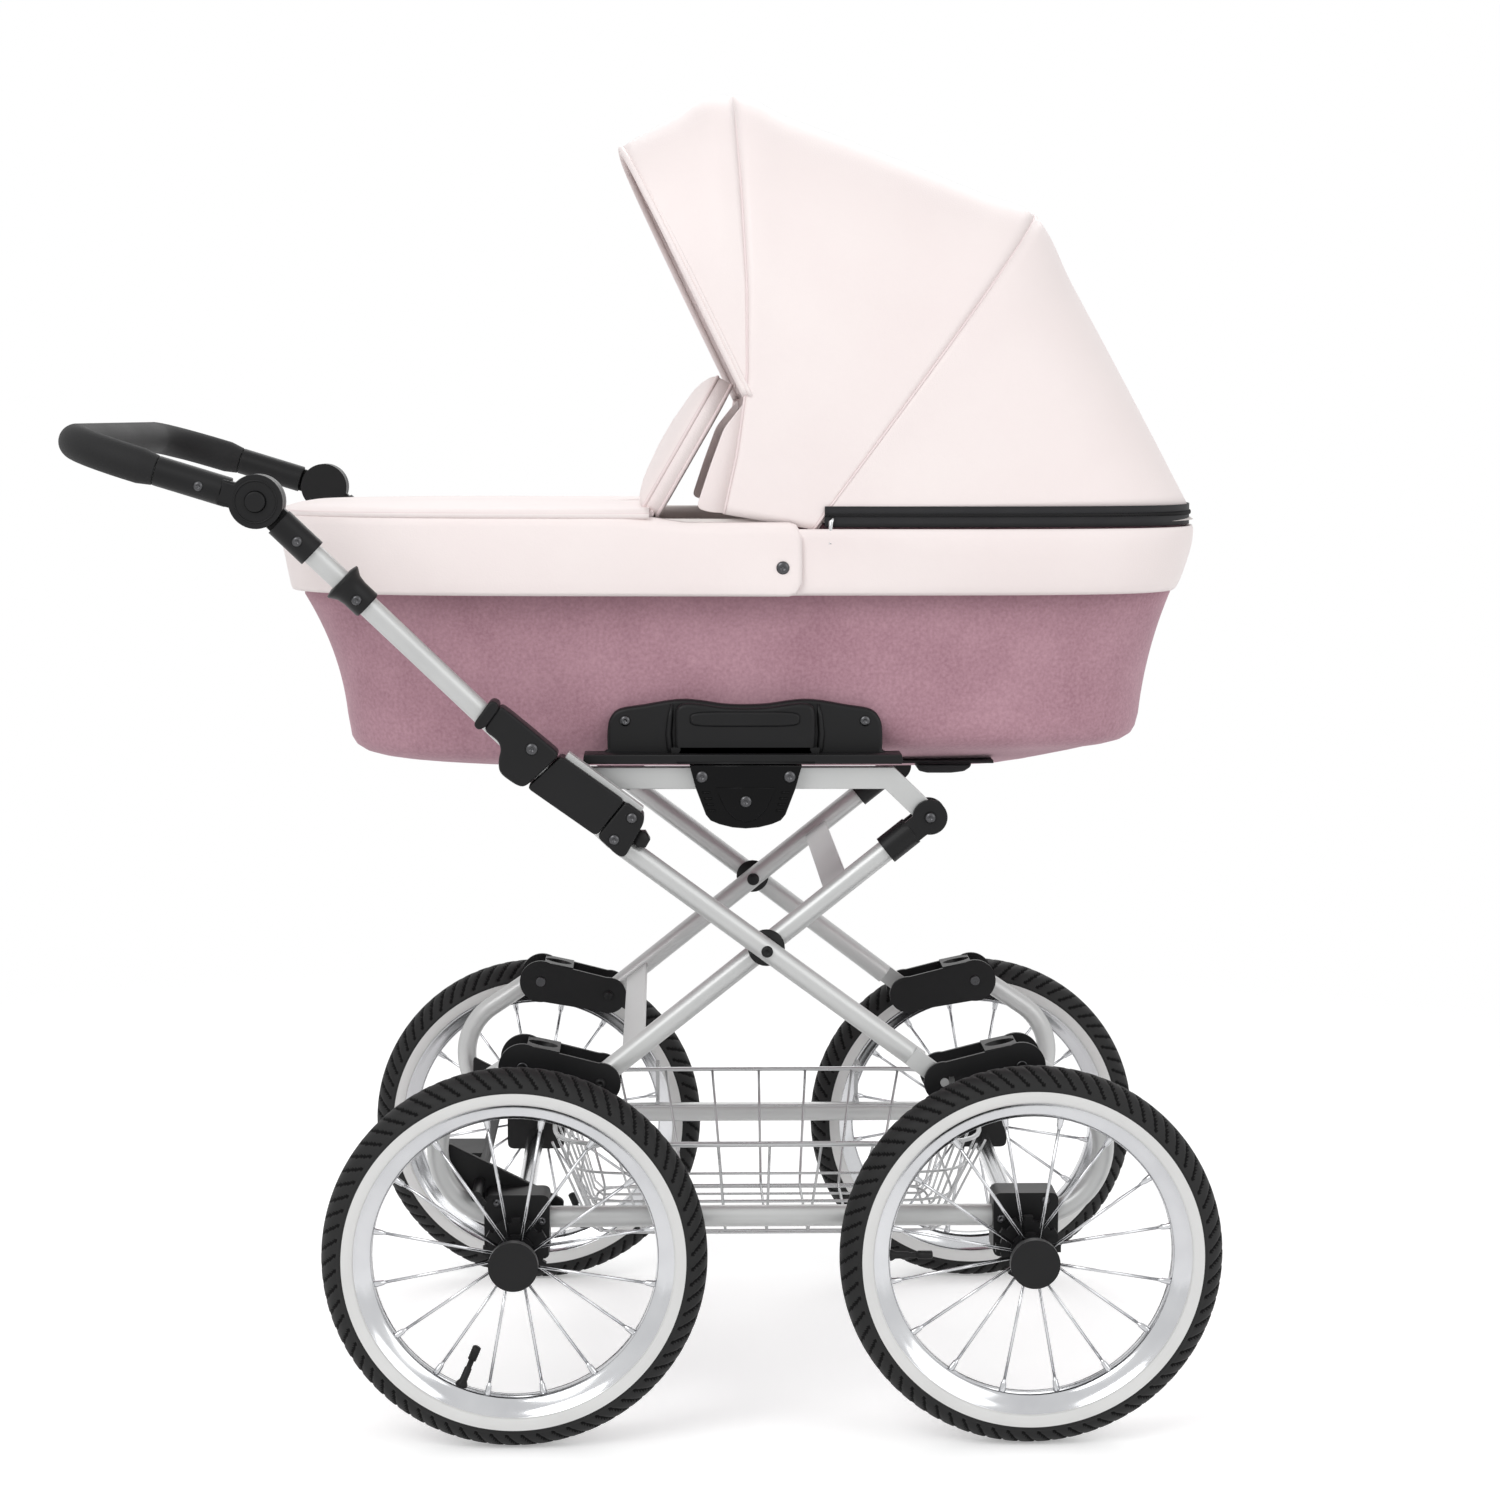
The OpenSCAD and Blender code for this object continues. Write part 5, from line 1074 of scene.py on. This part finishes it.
def collar_run(out, keep, count):
    """The run of the collar's outline, let out by a distance, where keep(x) holds, at equal steps."""
    ring = collar_ring(out, FINE)
    inside = [keep(x) for x, _ in ring]
    first = next(i for i in range(FINE) if inside[i] and not inside[i - 1])
    return spaced(ring[[(first + k) % FINE for k in range(sum(inside))]], count)


def wave(ring, z, size):
    """Soft pulls along a band of leather, one value a point."""
    x, y = ring[:, 0], ring[:, 1]
    slow = np.sin(x / 63 + z / 17 + 0.4) * np.sin(x / 151 + 1.1)
    return size * (slow * 0.7 + np.sin(y / 37 - x / 67 + z / 29 + 1.3) * 0.3)


def taper(x, z):
    """How far the collar is drawn in towards its hem at the hood end and the handle end."""
    drop = np.clip((BAND_HIGH.z - z) / (BAND_HIGH.z - BAND_LOW.z), 0, 1)
    front = np.clip((x - COLLAR_FRONT + TAPER_RUN) / TAPER_RUN, 0, 1)
    rear = np.clip((COLLAR_REAR + TAPER_RUN - x) / TAPER_RUN, 0, 1)
    return (REAR_TAPER * rear - FRONT_TAPER * front) * drop


def collar():
    rows = []
    for out, z in COLLAR_SECTION:
        ring = collar_ring(out)
        ring = ring + outward(ring) * (wave(ring, z, COLLAR_WAVE) * part_way(z, WAVE_TOP, WAVE_FULL))[:, None]
        ring[:, 0] += taper(ring[:, 0], z)
        rows.append([at(x, y, z) for x, y in ring])
    piece = grid_piece("collar_band", rows, M["leather"], wrap_columns=True)
    put(piece, "tub", "pale_leather", "rim_collar")


SKIRT_SECTION = [
    (-6.0, 1.000), (-2.0, 0.985), (1.2, 0.93), (2.4, 0.84), (3.0, 0.62), (3.0, 0.40), (2.6, 0.18),
    (2.0, 0.05), (1.0, 0.0),
]
SKIRT_END, SKIRT_CORNER, SKIRT_LOW, SKIRT_WAVE = 26.0, 12.0, 772.0, 1.7
SKIRT_TOP_X, SKIRT_TOP_Z = [APRON_EDGE - 25, APRON_EDGE + 30], [846.0, 838.0]
SKIRT_MIDDLE, SWAY_LOW, SWAY_RISE = np.array([-20.0, 0.0]), 765, 75
APRON_SHARES = [0.0, 0.15, 0.3, 0.45, 0.6, 0.72, 0.82, 0.9, 0.95, 0.975, 0.99, 1.0]
APRON_FOLD, APRON_DROP, APRON_STAND, APRON_WAVE = 0.95, 5.0, 1.5, 0.9
PIPING_R, HEM_R = 1.9, 2.6
HEM_HALF, HEM_REACH = 214, 206


def skirt_run(out):
    """The apron's skirt in plan, from its right tab round the handle end to its left tab."""
    return collar_run(out, lambda x: x <= SKIRT_END, 220)


def apron_run(out):
    return collar_run(out, lambda x: x <= APRON_EDGE, 150)


def apron_z(share):
    """Height of the apron's crown at a share of the way to its edge."""
    return APRON_TOP + APRON_CROWN * (1 - share ** 2)


def skirt():
    base = skirt_run(0.0)
    run = np.concatenate([[0], np.cumsum(np.linalg.norm(np.diff(base, axis=0), axis=1))])
    away = np.minimum(np.minimum(run, run[-1] - run), SKIRT_CORNER)
    lift = SKIRT_CORNER - np.sqrt(SKIRT_CORNER ** 2 - (SKIRT_CORNER - away) ** 2)
    low, high = SKIRT_LOW + lift, np.interp(base[:, 0], SKIRT_TOP_X, SKIRT_TOP_Z) - lift
    rows = []
    for out, share in SKIRT_SECTION:
        line = skirt_run(out)
        heights = low + (high - low) * share
        sway = wave(line, SWAY_LOW + SWAY_RISE * share, SKIRT_WAVE) * (1 - share ** 3)
        ahead = np.gradient(line, axis=0)
        normal = np.stack([ahead[:, 1], -ahead[:, 0]], axis=1)
        normal /= np.linalg.norm(normal, axis=1)[:, None]
        normal *= np.sign((normal * (line - SKIRT_MIDDLE)).sum(axis=1))[:, None]
        line = line + normal * sway[:, None]
        line[:, 0] += taper(line[:, 0], heights)
        rows.append([at(x, y, z) for (x, y), z in zip(line, heights)])
    piece = grid_piece("apron_skirt", rows, M["leather"])
    thicken(piece, 1.6, offset=0.0)
    put(piece, "tub", "pale_leather")


def apron():
    """The apron's top with its piping and its hem across the tub."""
    edge = apron_run(1.5)
    rows = []
    for s in APRON_SHARES:
        level = apron_z(s) + APRON_STAND - APRON_DROP * part_way(s, APRON_FOLD, 1.0) ** 2
        row = []
        for x, y in edge:
            px, py = APRON_EDGE + (x - APRON_EDGE) * s, y * s
            soft = APRON_WAVE * math.sin(px / 37 + 0.6) * math.sin(py / 43) * (1 - s ** 4)
            row.append(at(px, py, level + soft))
        rows.append(row)
    piece = grid_piece("apron_top", rows, M["leather"])
    thicken(piece, 4.0)
    put(piece, "tub", "pale_leather", "apron")
    piping("apron_piping", [at(x, y, APRON_TOP + 0.2) for x, y in apron_run(0.6)], PIPING_R, "tub")
    across = np.linspace(-HEM_REACH, HEM_REACH, 40)
    hem = [at(APRON_EDGE + 1, y, apron_z(y / HEM_HALF) + 0.4) for y in across]
    piping("apron_hem", hem, HEM_R, "tub")


ZIP_FRONT, ZIP_OUT, COIL_OUT, COIL_SWING = 46.0, -6.0, -5.0, 0.9
PULL_LINE = [(54, -216.6, 842), (52, -217.6, 839), (51, -218.0, 828), (51, -218.0, 819)]
PULL_R = [2.0, 2.4, 1.6, 2.4]


def zip_run(out, start, count):
    return collar_run(out, lambda x: x >= start, count)


def zip_band():
    """Zip tape round the hood end, with its coil and pull."""
    line = zip_run(ZIP_OUT, ZIP_FRONT, 200)
    band = grid_piece("zip_tape", loft([(line, z) for z in np.linspace(ZIP_LOW, ZIP_TOP, 5)]), M["zip"])
    thicken(band, 1.2, offset=0.0)
    put(band, "tub", "webbing")
    middle = (ZIP_LOW + ZIP_TOP) / 2 + 1.5
    path = enumerate(zip_run(COIL_OUT, ZIP_FRONT, 700))
    coil = [at(x, y, middle + (COIL_SWING if i % 2 else -COIL_SWING)) for i, (x, y) in path]
    put(tube_piece("zip_coil", coil, 1.1, M["black"], 6), "tub", "webbing")
    pull = [at(*p) for p in PULL_LINE]
    put(tube_piece("zip_pull", pull, PULL_R, M["chrome"]), "tub", "bright_metal")


tub()
mattress()
collar()
skirt()
apron()
zip_band()


# Hood: three panels of leather between the zip, two bows and the visor's hem

COLUMNS = 121
SEAM_Z = [800, 845, 900, 967, 1050, 1145, 1240]
SEAM_X = [-47, -45, -33, -24, -24, -29, -35.6]
SLEEVE_INSET, SLEEVE_R, SEAM_OUT, SEAM_R = 4.0, 3.2, 0.9, 1.1
CLOTH_T, CLOTH_STAND, SIDE_SHARE = 2.4, 0.8, 0.9
REAR_FEET, FRONT_FEET = (27.0, 52.0), (35.0, 144.0)
VISOR_EDGES = [("visor_hem", 0.0, 0.0, 2.6), ("visor_lip", 4.8, 1.2, 2.2)]


def arch_line(foot, turn, half, reach, low):
    """A bow that leans at a turn, in radians, from one foot over the top to the other, above a lowest
    reach."""
    a = np.linspace(0, math.pi, FINE)
    y = -half * np.sign(np.cos(a)) * np.abs(np.cos(a)) ** (2 / HOOD_POWER)
    r = reach * np.abs(np.sin(a)) ** (2 / HOOD_POWER)
    y, r = spaced(np.stack([y, r], axis=1)[r >= low], COLUMNS).T
    return np.stack([foot[0] + r * math.cos(turn), y, foot[1] + r * math.sin(turn)], axis=1)


def bow_line(turn, reach, low):
    return arch_line(HOOD_PIVOT, math.radians(turn), HOOD_HALF, reach, low)


def front_line(low):
    """The front bow's seam, which hangs a little ahead of the bow at the sides."""
    line = bow_line(FRONT_TURN, FRONT_REACH, low)
    line[:, 0] = np.interp(line[:, 2], SEAM_Z, SEAM_X)
    return line


def visor_line():
    dx, dz = VISOR_TIP[0] - VISOR_FOOT[0], VISOR_TIP[1] - VISOR_FOOT[1]
    return arch_line(VISOR_FOOT, math.atan2(dz, dx), VISOR_HALF, math.hypot(dx, dz), 0.0)


def rim_line():
    return np.array([(x, y, ZIP_TOP - 2) for x, y in zip_run(-7.5, ZIP_FRONT + 4, COLUMNS)])


def lifted(line, out):
    """A seam line moved away from the hood's pivot by one distance, or by one for each point."""
    away = line - np.array([HOOD_PIVOT[0], 0.0, HOOD_PIVOT[1]])
    away[:, 1] *= SIDE_SHARE
    away /= np.linalg.norm(away, axis=1)[:, None]
    return line + away * np.reshape(out, (-1, 1))


def panel(name, low, high, count, sag, ridges, body_a, body_b, node):
    """Cloth between two seam lines, which stands out by a sag and by ridges, given as (height, share
    of the way, width)."""
    rows, weights = [], []
    over = np.sin(np.linspace(0, math.pi, COLUMNS)) ** 2
    for s in np.linspace(0, 1, count):
        swell = sag * 4 * s * (1 - s)
        swell += sum(high_by * math.exp(-(((s - share) / width) ** 2)) for high_by, share, width in ridges)
        rows.append([at(*p) for p in lifted(low + (high - low) * s, swell * over + CLOTH_STAND)])
        weights += [s] * COLUMNS
    piece = grid_piece(name, rows, M["leather"], M["lining"])
    thicken(piece, CLOTH_T, inner=1)
    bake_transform(piece)
    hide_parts(node)
    return piece


def hood():
    rear_low, rear_high = [bow_line(REAR_SEAM_TURN, REAR_REACH, low) for low in REAR_FEET]
    front_low, front_high = [front_line(low) for low in FRONT_FEET]
    visor = visor_line()
    rear = panel(
        "hood_rear_panel", rim_line(), rear_high, 25, 2.0, [(4.0, 0.92, 0.09)],
        "tub", "hood_rear", "rear_panel",
    )
    main = panel(
        "hood_main_panel", rear_low, front_low, 25, 2.0, [(3.5, 0.065, 0.05), (5.5, 0.93, 0.06)],
        "hood_rear", "hood_front", "main_panel",
    )
    top = panel(
        "hood_visor_panel", front_high, visor, 13, 5.0, [(7.0, 0.2, 0.16)],
        "hood_front", "visor", "visor_panel",
    )
    for bow, line in (("rear", rear_low), ("front", front_low)):
        piping(f"{bow}_bow_piping", [at(*p) for p in lifted(line, SEAM_OUT)], SEAM_R, f"hood_{bow}")
    sleeve = [at(*p) for p in lifted(visor, -SLEEVE_INSET)]
    piping("visor_bow_sleeve", sleeve, SLEEVE_R, "visor", "visor_bow", look="lining", sides=10)
    for name, back, down, radius in VISOR_EDGES:
        hem = [at(x + back, y, z - down) for x, y, z in visor]
        piping(name, hem, radius, "visor", look="leather", sides=10)


CURTAIN = [
    (-22.0, 952.0), (-45.0, 923.0), (-57.5, 889.0), (-70.0, 851.0), (-58.0, 847.0), (-36.0, 846.0),
    (-20.0, 900.0),
]
CURTAIN_Y, CURTAIN_T, CURTAIN_AREA = 203.0, 1.6, 0.0028


def curtains():
    """Cloth at the foot of the front bow that closes the corner beside the wind flap."""
    outline = rounded_corners(CURTAIN, 6.0)
    for side, way in SIDES.items():
        shape = cushion(outline, way * (CURTAIN_Y - CURTAIN_T), way * CURTAIN_Y, soft=0.6, steps=2)
        piece = solid_piece(f"side_curtain_{side}", [shape], M["leather"])
        put(piece, "hood_front", "pale_leather")


hood()
curtains()


# Wind flap: a padded panel with a gusset and piping

FLAP_FOOT, FLAP_TURN = (-112.0, 846.5), math.radians(60.0)
FLAP_TALL, FLAP_HALF, FLAP_CORNER, FLAP_THICK = 138.0, 176.0, 46.0, 15.0
FLAP_DOME_OUT, FLAP_DOME_IN, FLAP_PRESSED = 15.0, 4.0, 0.32
FLAP_DIP, FLAP_DIPS = 0.9, 9
FLAP_SHARES = (0.02, 0.2, 0.4, 0.6, 0.75, 0.86, 0.94, 0.98, 1.0)
FLAP_GUSSET = ((0.6, 1.2), (0.2, 1.8), (-0.2, 1.8), (-0.6, 1.2))


def flap_outline():
    """A rounded outline from the right foot over the top to the left foot and back, as (across, up)."""
    side, shoulder = -FLAP_HALF + FLAP_CORNER, FLAP_TALL - FLAP_CORNER
    line = [(-FLAP_HALF, 0.0), (-FLAP_HALF, shoulder)]
    for k in range(1, 12):
        a = math.pi - math.pi / 2 * k / 12
        line.append((side + FLAP_CORNER * math.cos(a), shoulder + FLAP_CORNER * math.sin(a)))
    line.append((side, FLAP_TALL))
    line += [(-x, y) for x, y in reversed(line)]
    line.append((-FLAP_HALF, 0.0))
    return spaced(line, 141)[:-1]


def flap_point(across, up, out):
    x = FLAP_FOOT[0] + up * math.cos(FLAP_TURN) - out * math.sin(FLAP_TURN)
    z = FLAP_FOOT[1] + up * math.sin(FLAP_TURN) + out * math.cos(FLAP_TURN)
    return at(x, across, z)


def flap():
    """The padded flap and its piping."""
    outline = flap_outline()
    middle = np.array([0.0, FLAP_TALL / 2])
    half = FLAP_THICK / 2

    def face(side, dome):
        rows = []
        for s in FLAP_SHARES:
            dip = FLAP_DIP * math.sin(s * FLAP_DIPS) * (1 - s)
            out = side * (half + dome * math.sqrt(max(0.0, 1 - s ** 3)) + dip)
            rows.append([flap_point(*(middle + (p - middle) * s), out) for p in outline])
        return rows

    away = np.stack([outline[:, 0], np.maximum(outline[:, 1], 0)], axis=1) - middle
    away *= (outline[:, 1:] > 1) / np.linalg.norm(away, axis=1)[:, None]
    edge = [[flap_point(*p, half * w) for p in outline + away * bulge] for w, bulge in FLAP_GUSSET]
    rows = face(1, FLAP_DOME_OUT) + edge + face(-1, FLAP_DOME_IN)[::-1]
    piece = capped("wind_flap_pad", rows, M["leather"], 0, -1)
    put(piece, "flap", "pale_leather", "wind_flap")
    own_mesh(piece)
    for name, side in (("flap_piping_outer", 1), ("flap_piping_inner", -1)):
        line = [flap_point(across, up, side * half) for across, up in outline]
        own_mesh(piping(name, line, PIPING_R, "flap", closed=True))


flap()


# Handle grip and base strap

softened("handle_grip", M["grip"], "handle", "grip", width=2.5)


STRAP_LOW, STRAP_HIGH = cad_span("base_strap")
STRAP_Z, STRAP_INSET, STRAP_T, STRAP_END = 604.6, 75.0, 2.6, 212.0
BUCKLE = [(138, -2.2), (141, -9.5), (149, -11.5), (172, -11.5), (184, -10.0), (190, -6.0), (191, -2.2)]
BUCKLE_X = 165


def strap():
    """Webbing along the tub's underside, with a buckle on it."""
    def under(x):
        return STRAP_Z + belly_lift(x, STRAP_INSET)

    run = np.linspace(STRAP_LOW.x, STRAP_END, 16)
    band = [(x, under(x)) for x in run] + [(x, under(x) - STRAP_T) for x in run[::-1]]
    buckle = rounded_corners([(x, under(BUCKLE_X) + z) for x, z in BUCKLE], 2.0)
    shapes = [
        cushion(band, STRAP_HIGH.y, STRAP_LOW.y, soft=0.6, steps=2),
        cushion(buckle, STRAP_HIGH.y + 3, STRAP_LOW.y - 3, soft=2.0),
    ]
    put(solid_piece("tub_strap", shapes, M["webbing"]), "tub", "webbing", "base_strap")


strap()


# Stage, light and camera

FLOOR_SOLID, FLOOR_GONE, FLOOR_GLOW = 0.9, 2.2, 0.3
FLOOR_HALF, FLOOR_DROP = 4.0, 0.0004
WORLD_LIGHT, WORLD_SEEN = 0.66, 1.0
LAMPS = [
    ("key", (-1.9, -3.0, 3.4), 2.6, 62.0),
    ("fill", (2.8, -2.6, 2.2), 2.8, 26.0),
    ("back", (0.6, 3.2, 3.0), 3.0, 34.0),
]
CAMERA_PLACE = (-100.18, -2997.31, 937.19)
CAMERA_YAW, CAMERA_PITCH, CAMERA_ROLL = 0.028483, 0.109525, 0.002527
CAMERA_LENS = 73.63


def seen_directly(tree):
    """One for rays of the camera, of mirrors and of glass, and zero for light on the object."""
    path = tree.nodes.new("ShaderNodeLightPath")
    total = path.outputs["Is Camera Ray"]
    for kind in ("Is Glossy Ray", "Is Transmission Ray"):
        total = add_node(
            tree, "ShaderNodeMath", [(total, 0), (path.outputs[kind], 1)], operation="ADD", use_clamp=True
        ).outputs["Value"]
    return total


def fading_floor():
    """A pale floor that fades into the white background, so that no horizon shows."""
    material = finish_surface("pale_floor", (250, 250, 250), (254, 254, 254), (0.8, 0.9), patch=2.0)
    tree = material.node_tree
    place = tree.nodes.new("ShaderNodeTexCoord").outputs["Object"]
    away = add_node(tree, "ShaderNodeVectorMath", [(place, "Vector")], operation="LENGTH").outputs["Value"]
    fade = add_node(
        tree, "ShaderNodeMapRange", [(away, "Value")],
        interpolation_type="SMOOTHSTEP", from_min=FLOOR_SOLID, from_max=FLOOR_GONE,
    )
    clear = tree.nodes.new("ShaderNodeBsdfTransparent").outputs["BSDF"]
    shader = tree.nodes["Principled BSDF"]
    shader.inputs["Emission Color"].default_value = (1, 1, 1, 1)
    tree.links.new(ranged(tree, seen_directly(tree), 0.0, FLOOR_GLOW), shader.inputs["Emission Strength"])
    links = [(fade.outputs["Result"], 0), (shader.outputs["BSDF"], 1), (clear, 2)]
    mixed = add_node(tree, "ShaderNodeMixShader", links)
    tree.links.new(mixed.outputs["Shader"], tree.nodes["Material Output"].inputs["Surface"])
    return material


def studio():
    """Floor, lamps and a white world."""
    low, high = CAD_BOX
    corners = [
        (x * FLOOR_HALF, y * FLOOR_HALF, low.z - FLOOR_DROP) for x, y in ((-1, -1), (1, -1), (1, 1), (-1, 1))
    ]
    data = mesh_data("floor", corners, [(0, 1, 2, 3)], fading_floor(), smooth_below=0)
    link_object("floor", data)
    target = Vector(((low.x + high.x) / 2, 0, 0.6))
    for name, place, side, power in LAMPS:
        lamp = bpy.data.lights.new(name, "AREA")
        lamp.shape, lamp.size, lamp.energy = "DISK", side, power
        holder = link_object(name, lamp)
        holder.location = place
        holder.rotation_mode = "QUATERNION"
        holder.rotation_quaternion = (target - Vector(place)).to_track_quat("-Z", "Y")
    world = bpy.data.worlds.new("studio")
    bpy.context.scene.world = world
    world.use_nodes = True
    tree = world.node_tree
    back = tree.nodes["Background"]
    back.inputs["Color"].default_value = (1, 1, 1, 1)
    tree.links.new(ranged(tree, seen_directly(tree), WORLD_LIGHT, WORLD_SEEN), back.inputs["Strength"])
    bpy.context.scene.view_settings.view_transform = "Standard"


def camera():
    """The photo's camera, from a place and three turns in radians."""
    data = bpy.data.cameras.new("photo_camera")
    data.lens, data.sensor_width = CAMERA_LENS, 36.0
    data.clip_start, data.clip_end = 0.1, 100.0
    holder = link_object("photo_camera", data)
    level = math.cos(CAMERA_PITCH)
    ahead = Vector((math.sin(CAMERA_YAW) * level, math.cos(CAMERA_YAW) * level, -math.sin(CAMERA_PITCH)))
    right = Vector((math.cos(CAMERA_YAW), -math.sin(CAMERA_YAW), 0))
    across = right * math.cos(CAMERA_ROLL) + right.cross(ahead) * math.sin(CAMERA_ROLL)
    turn = Matrix((across, across.cross(ahead), -ahead)).transposed()
    holder.matrix_world = Matrix.Translation(at(*CAMERA_PLACE)) @ turn.to_4x4()
    bpy.context.scene.camera = holder


studio()
camera()
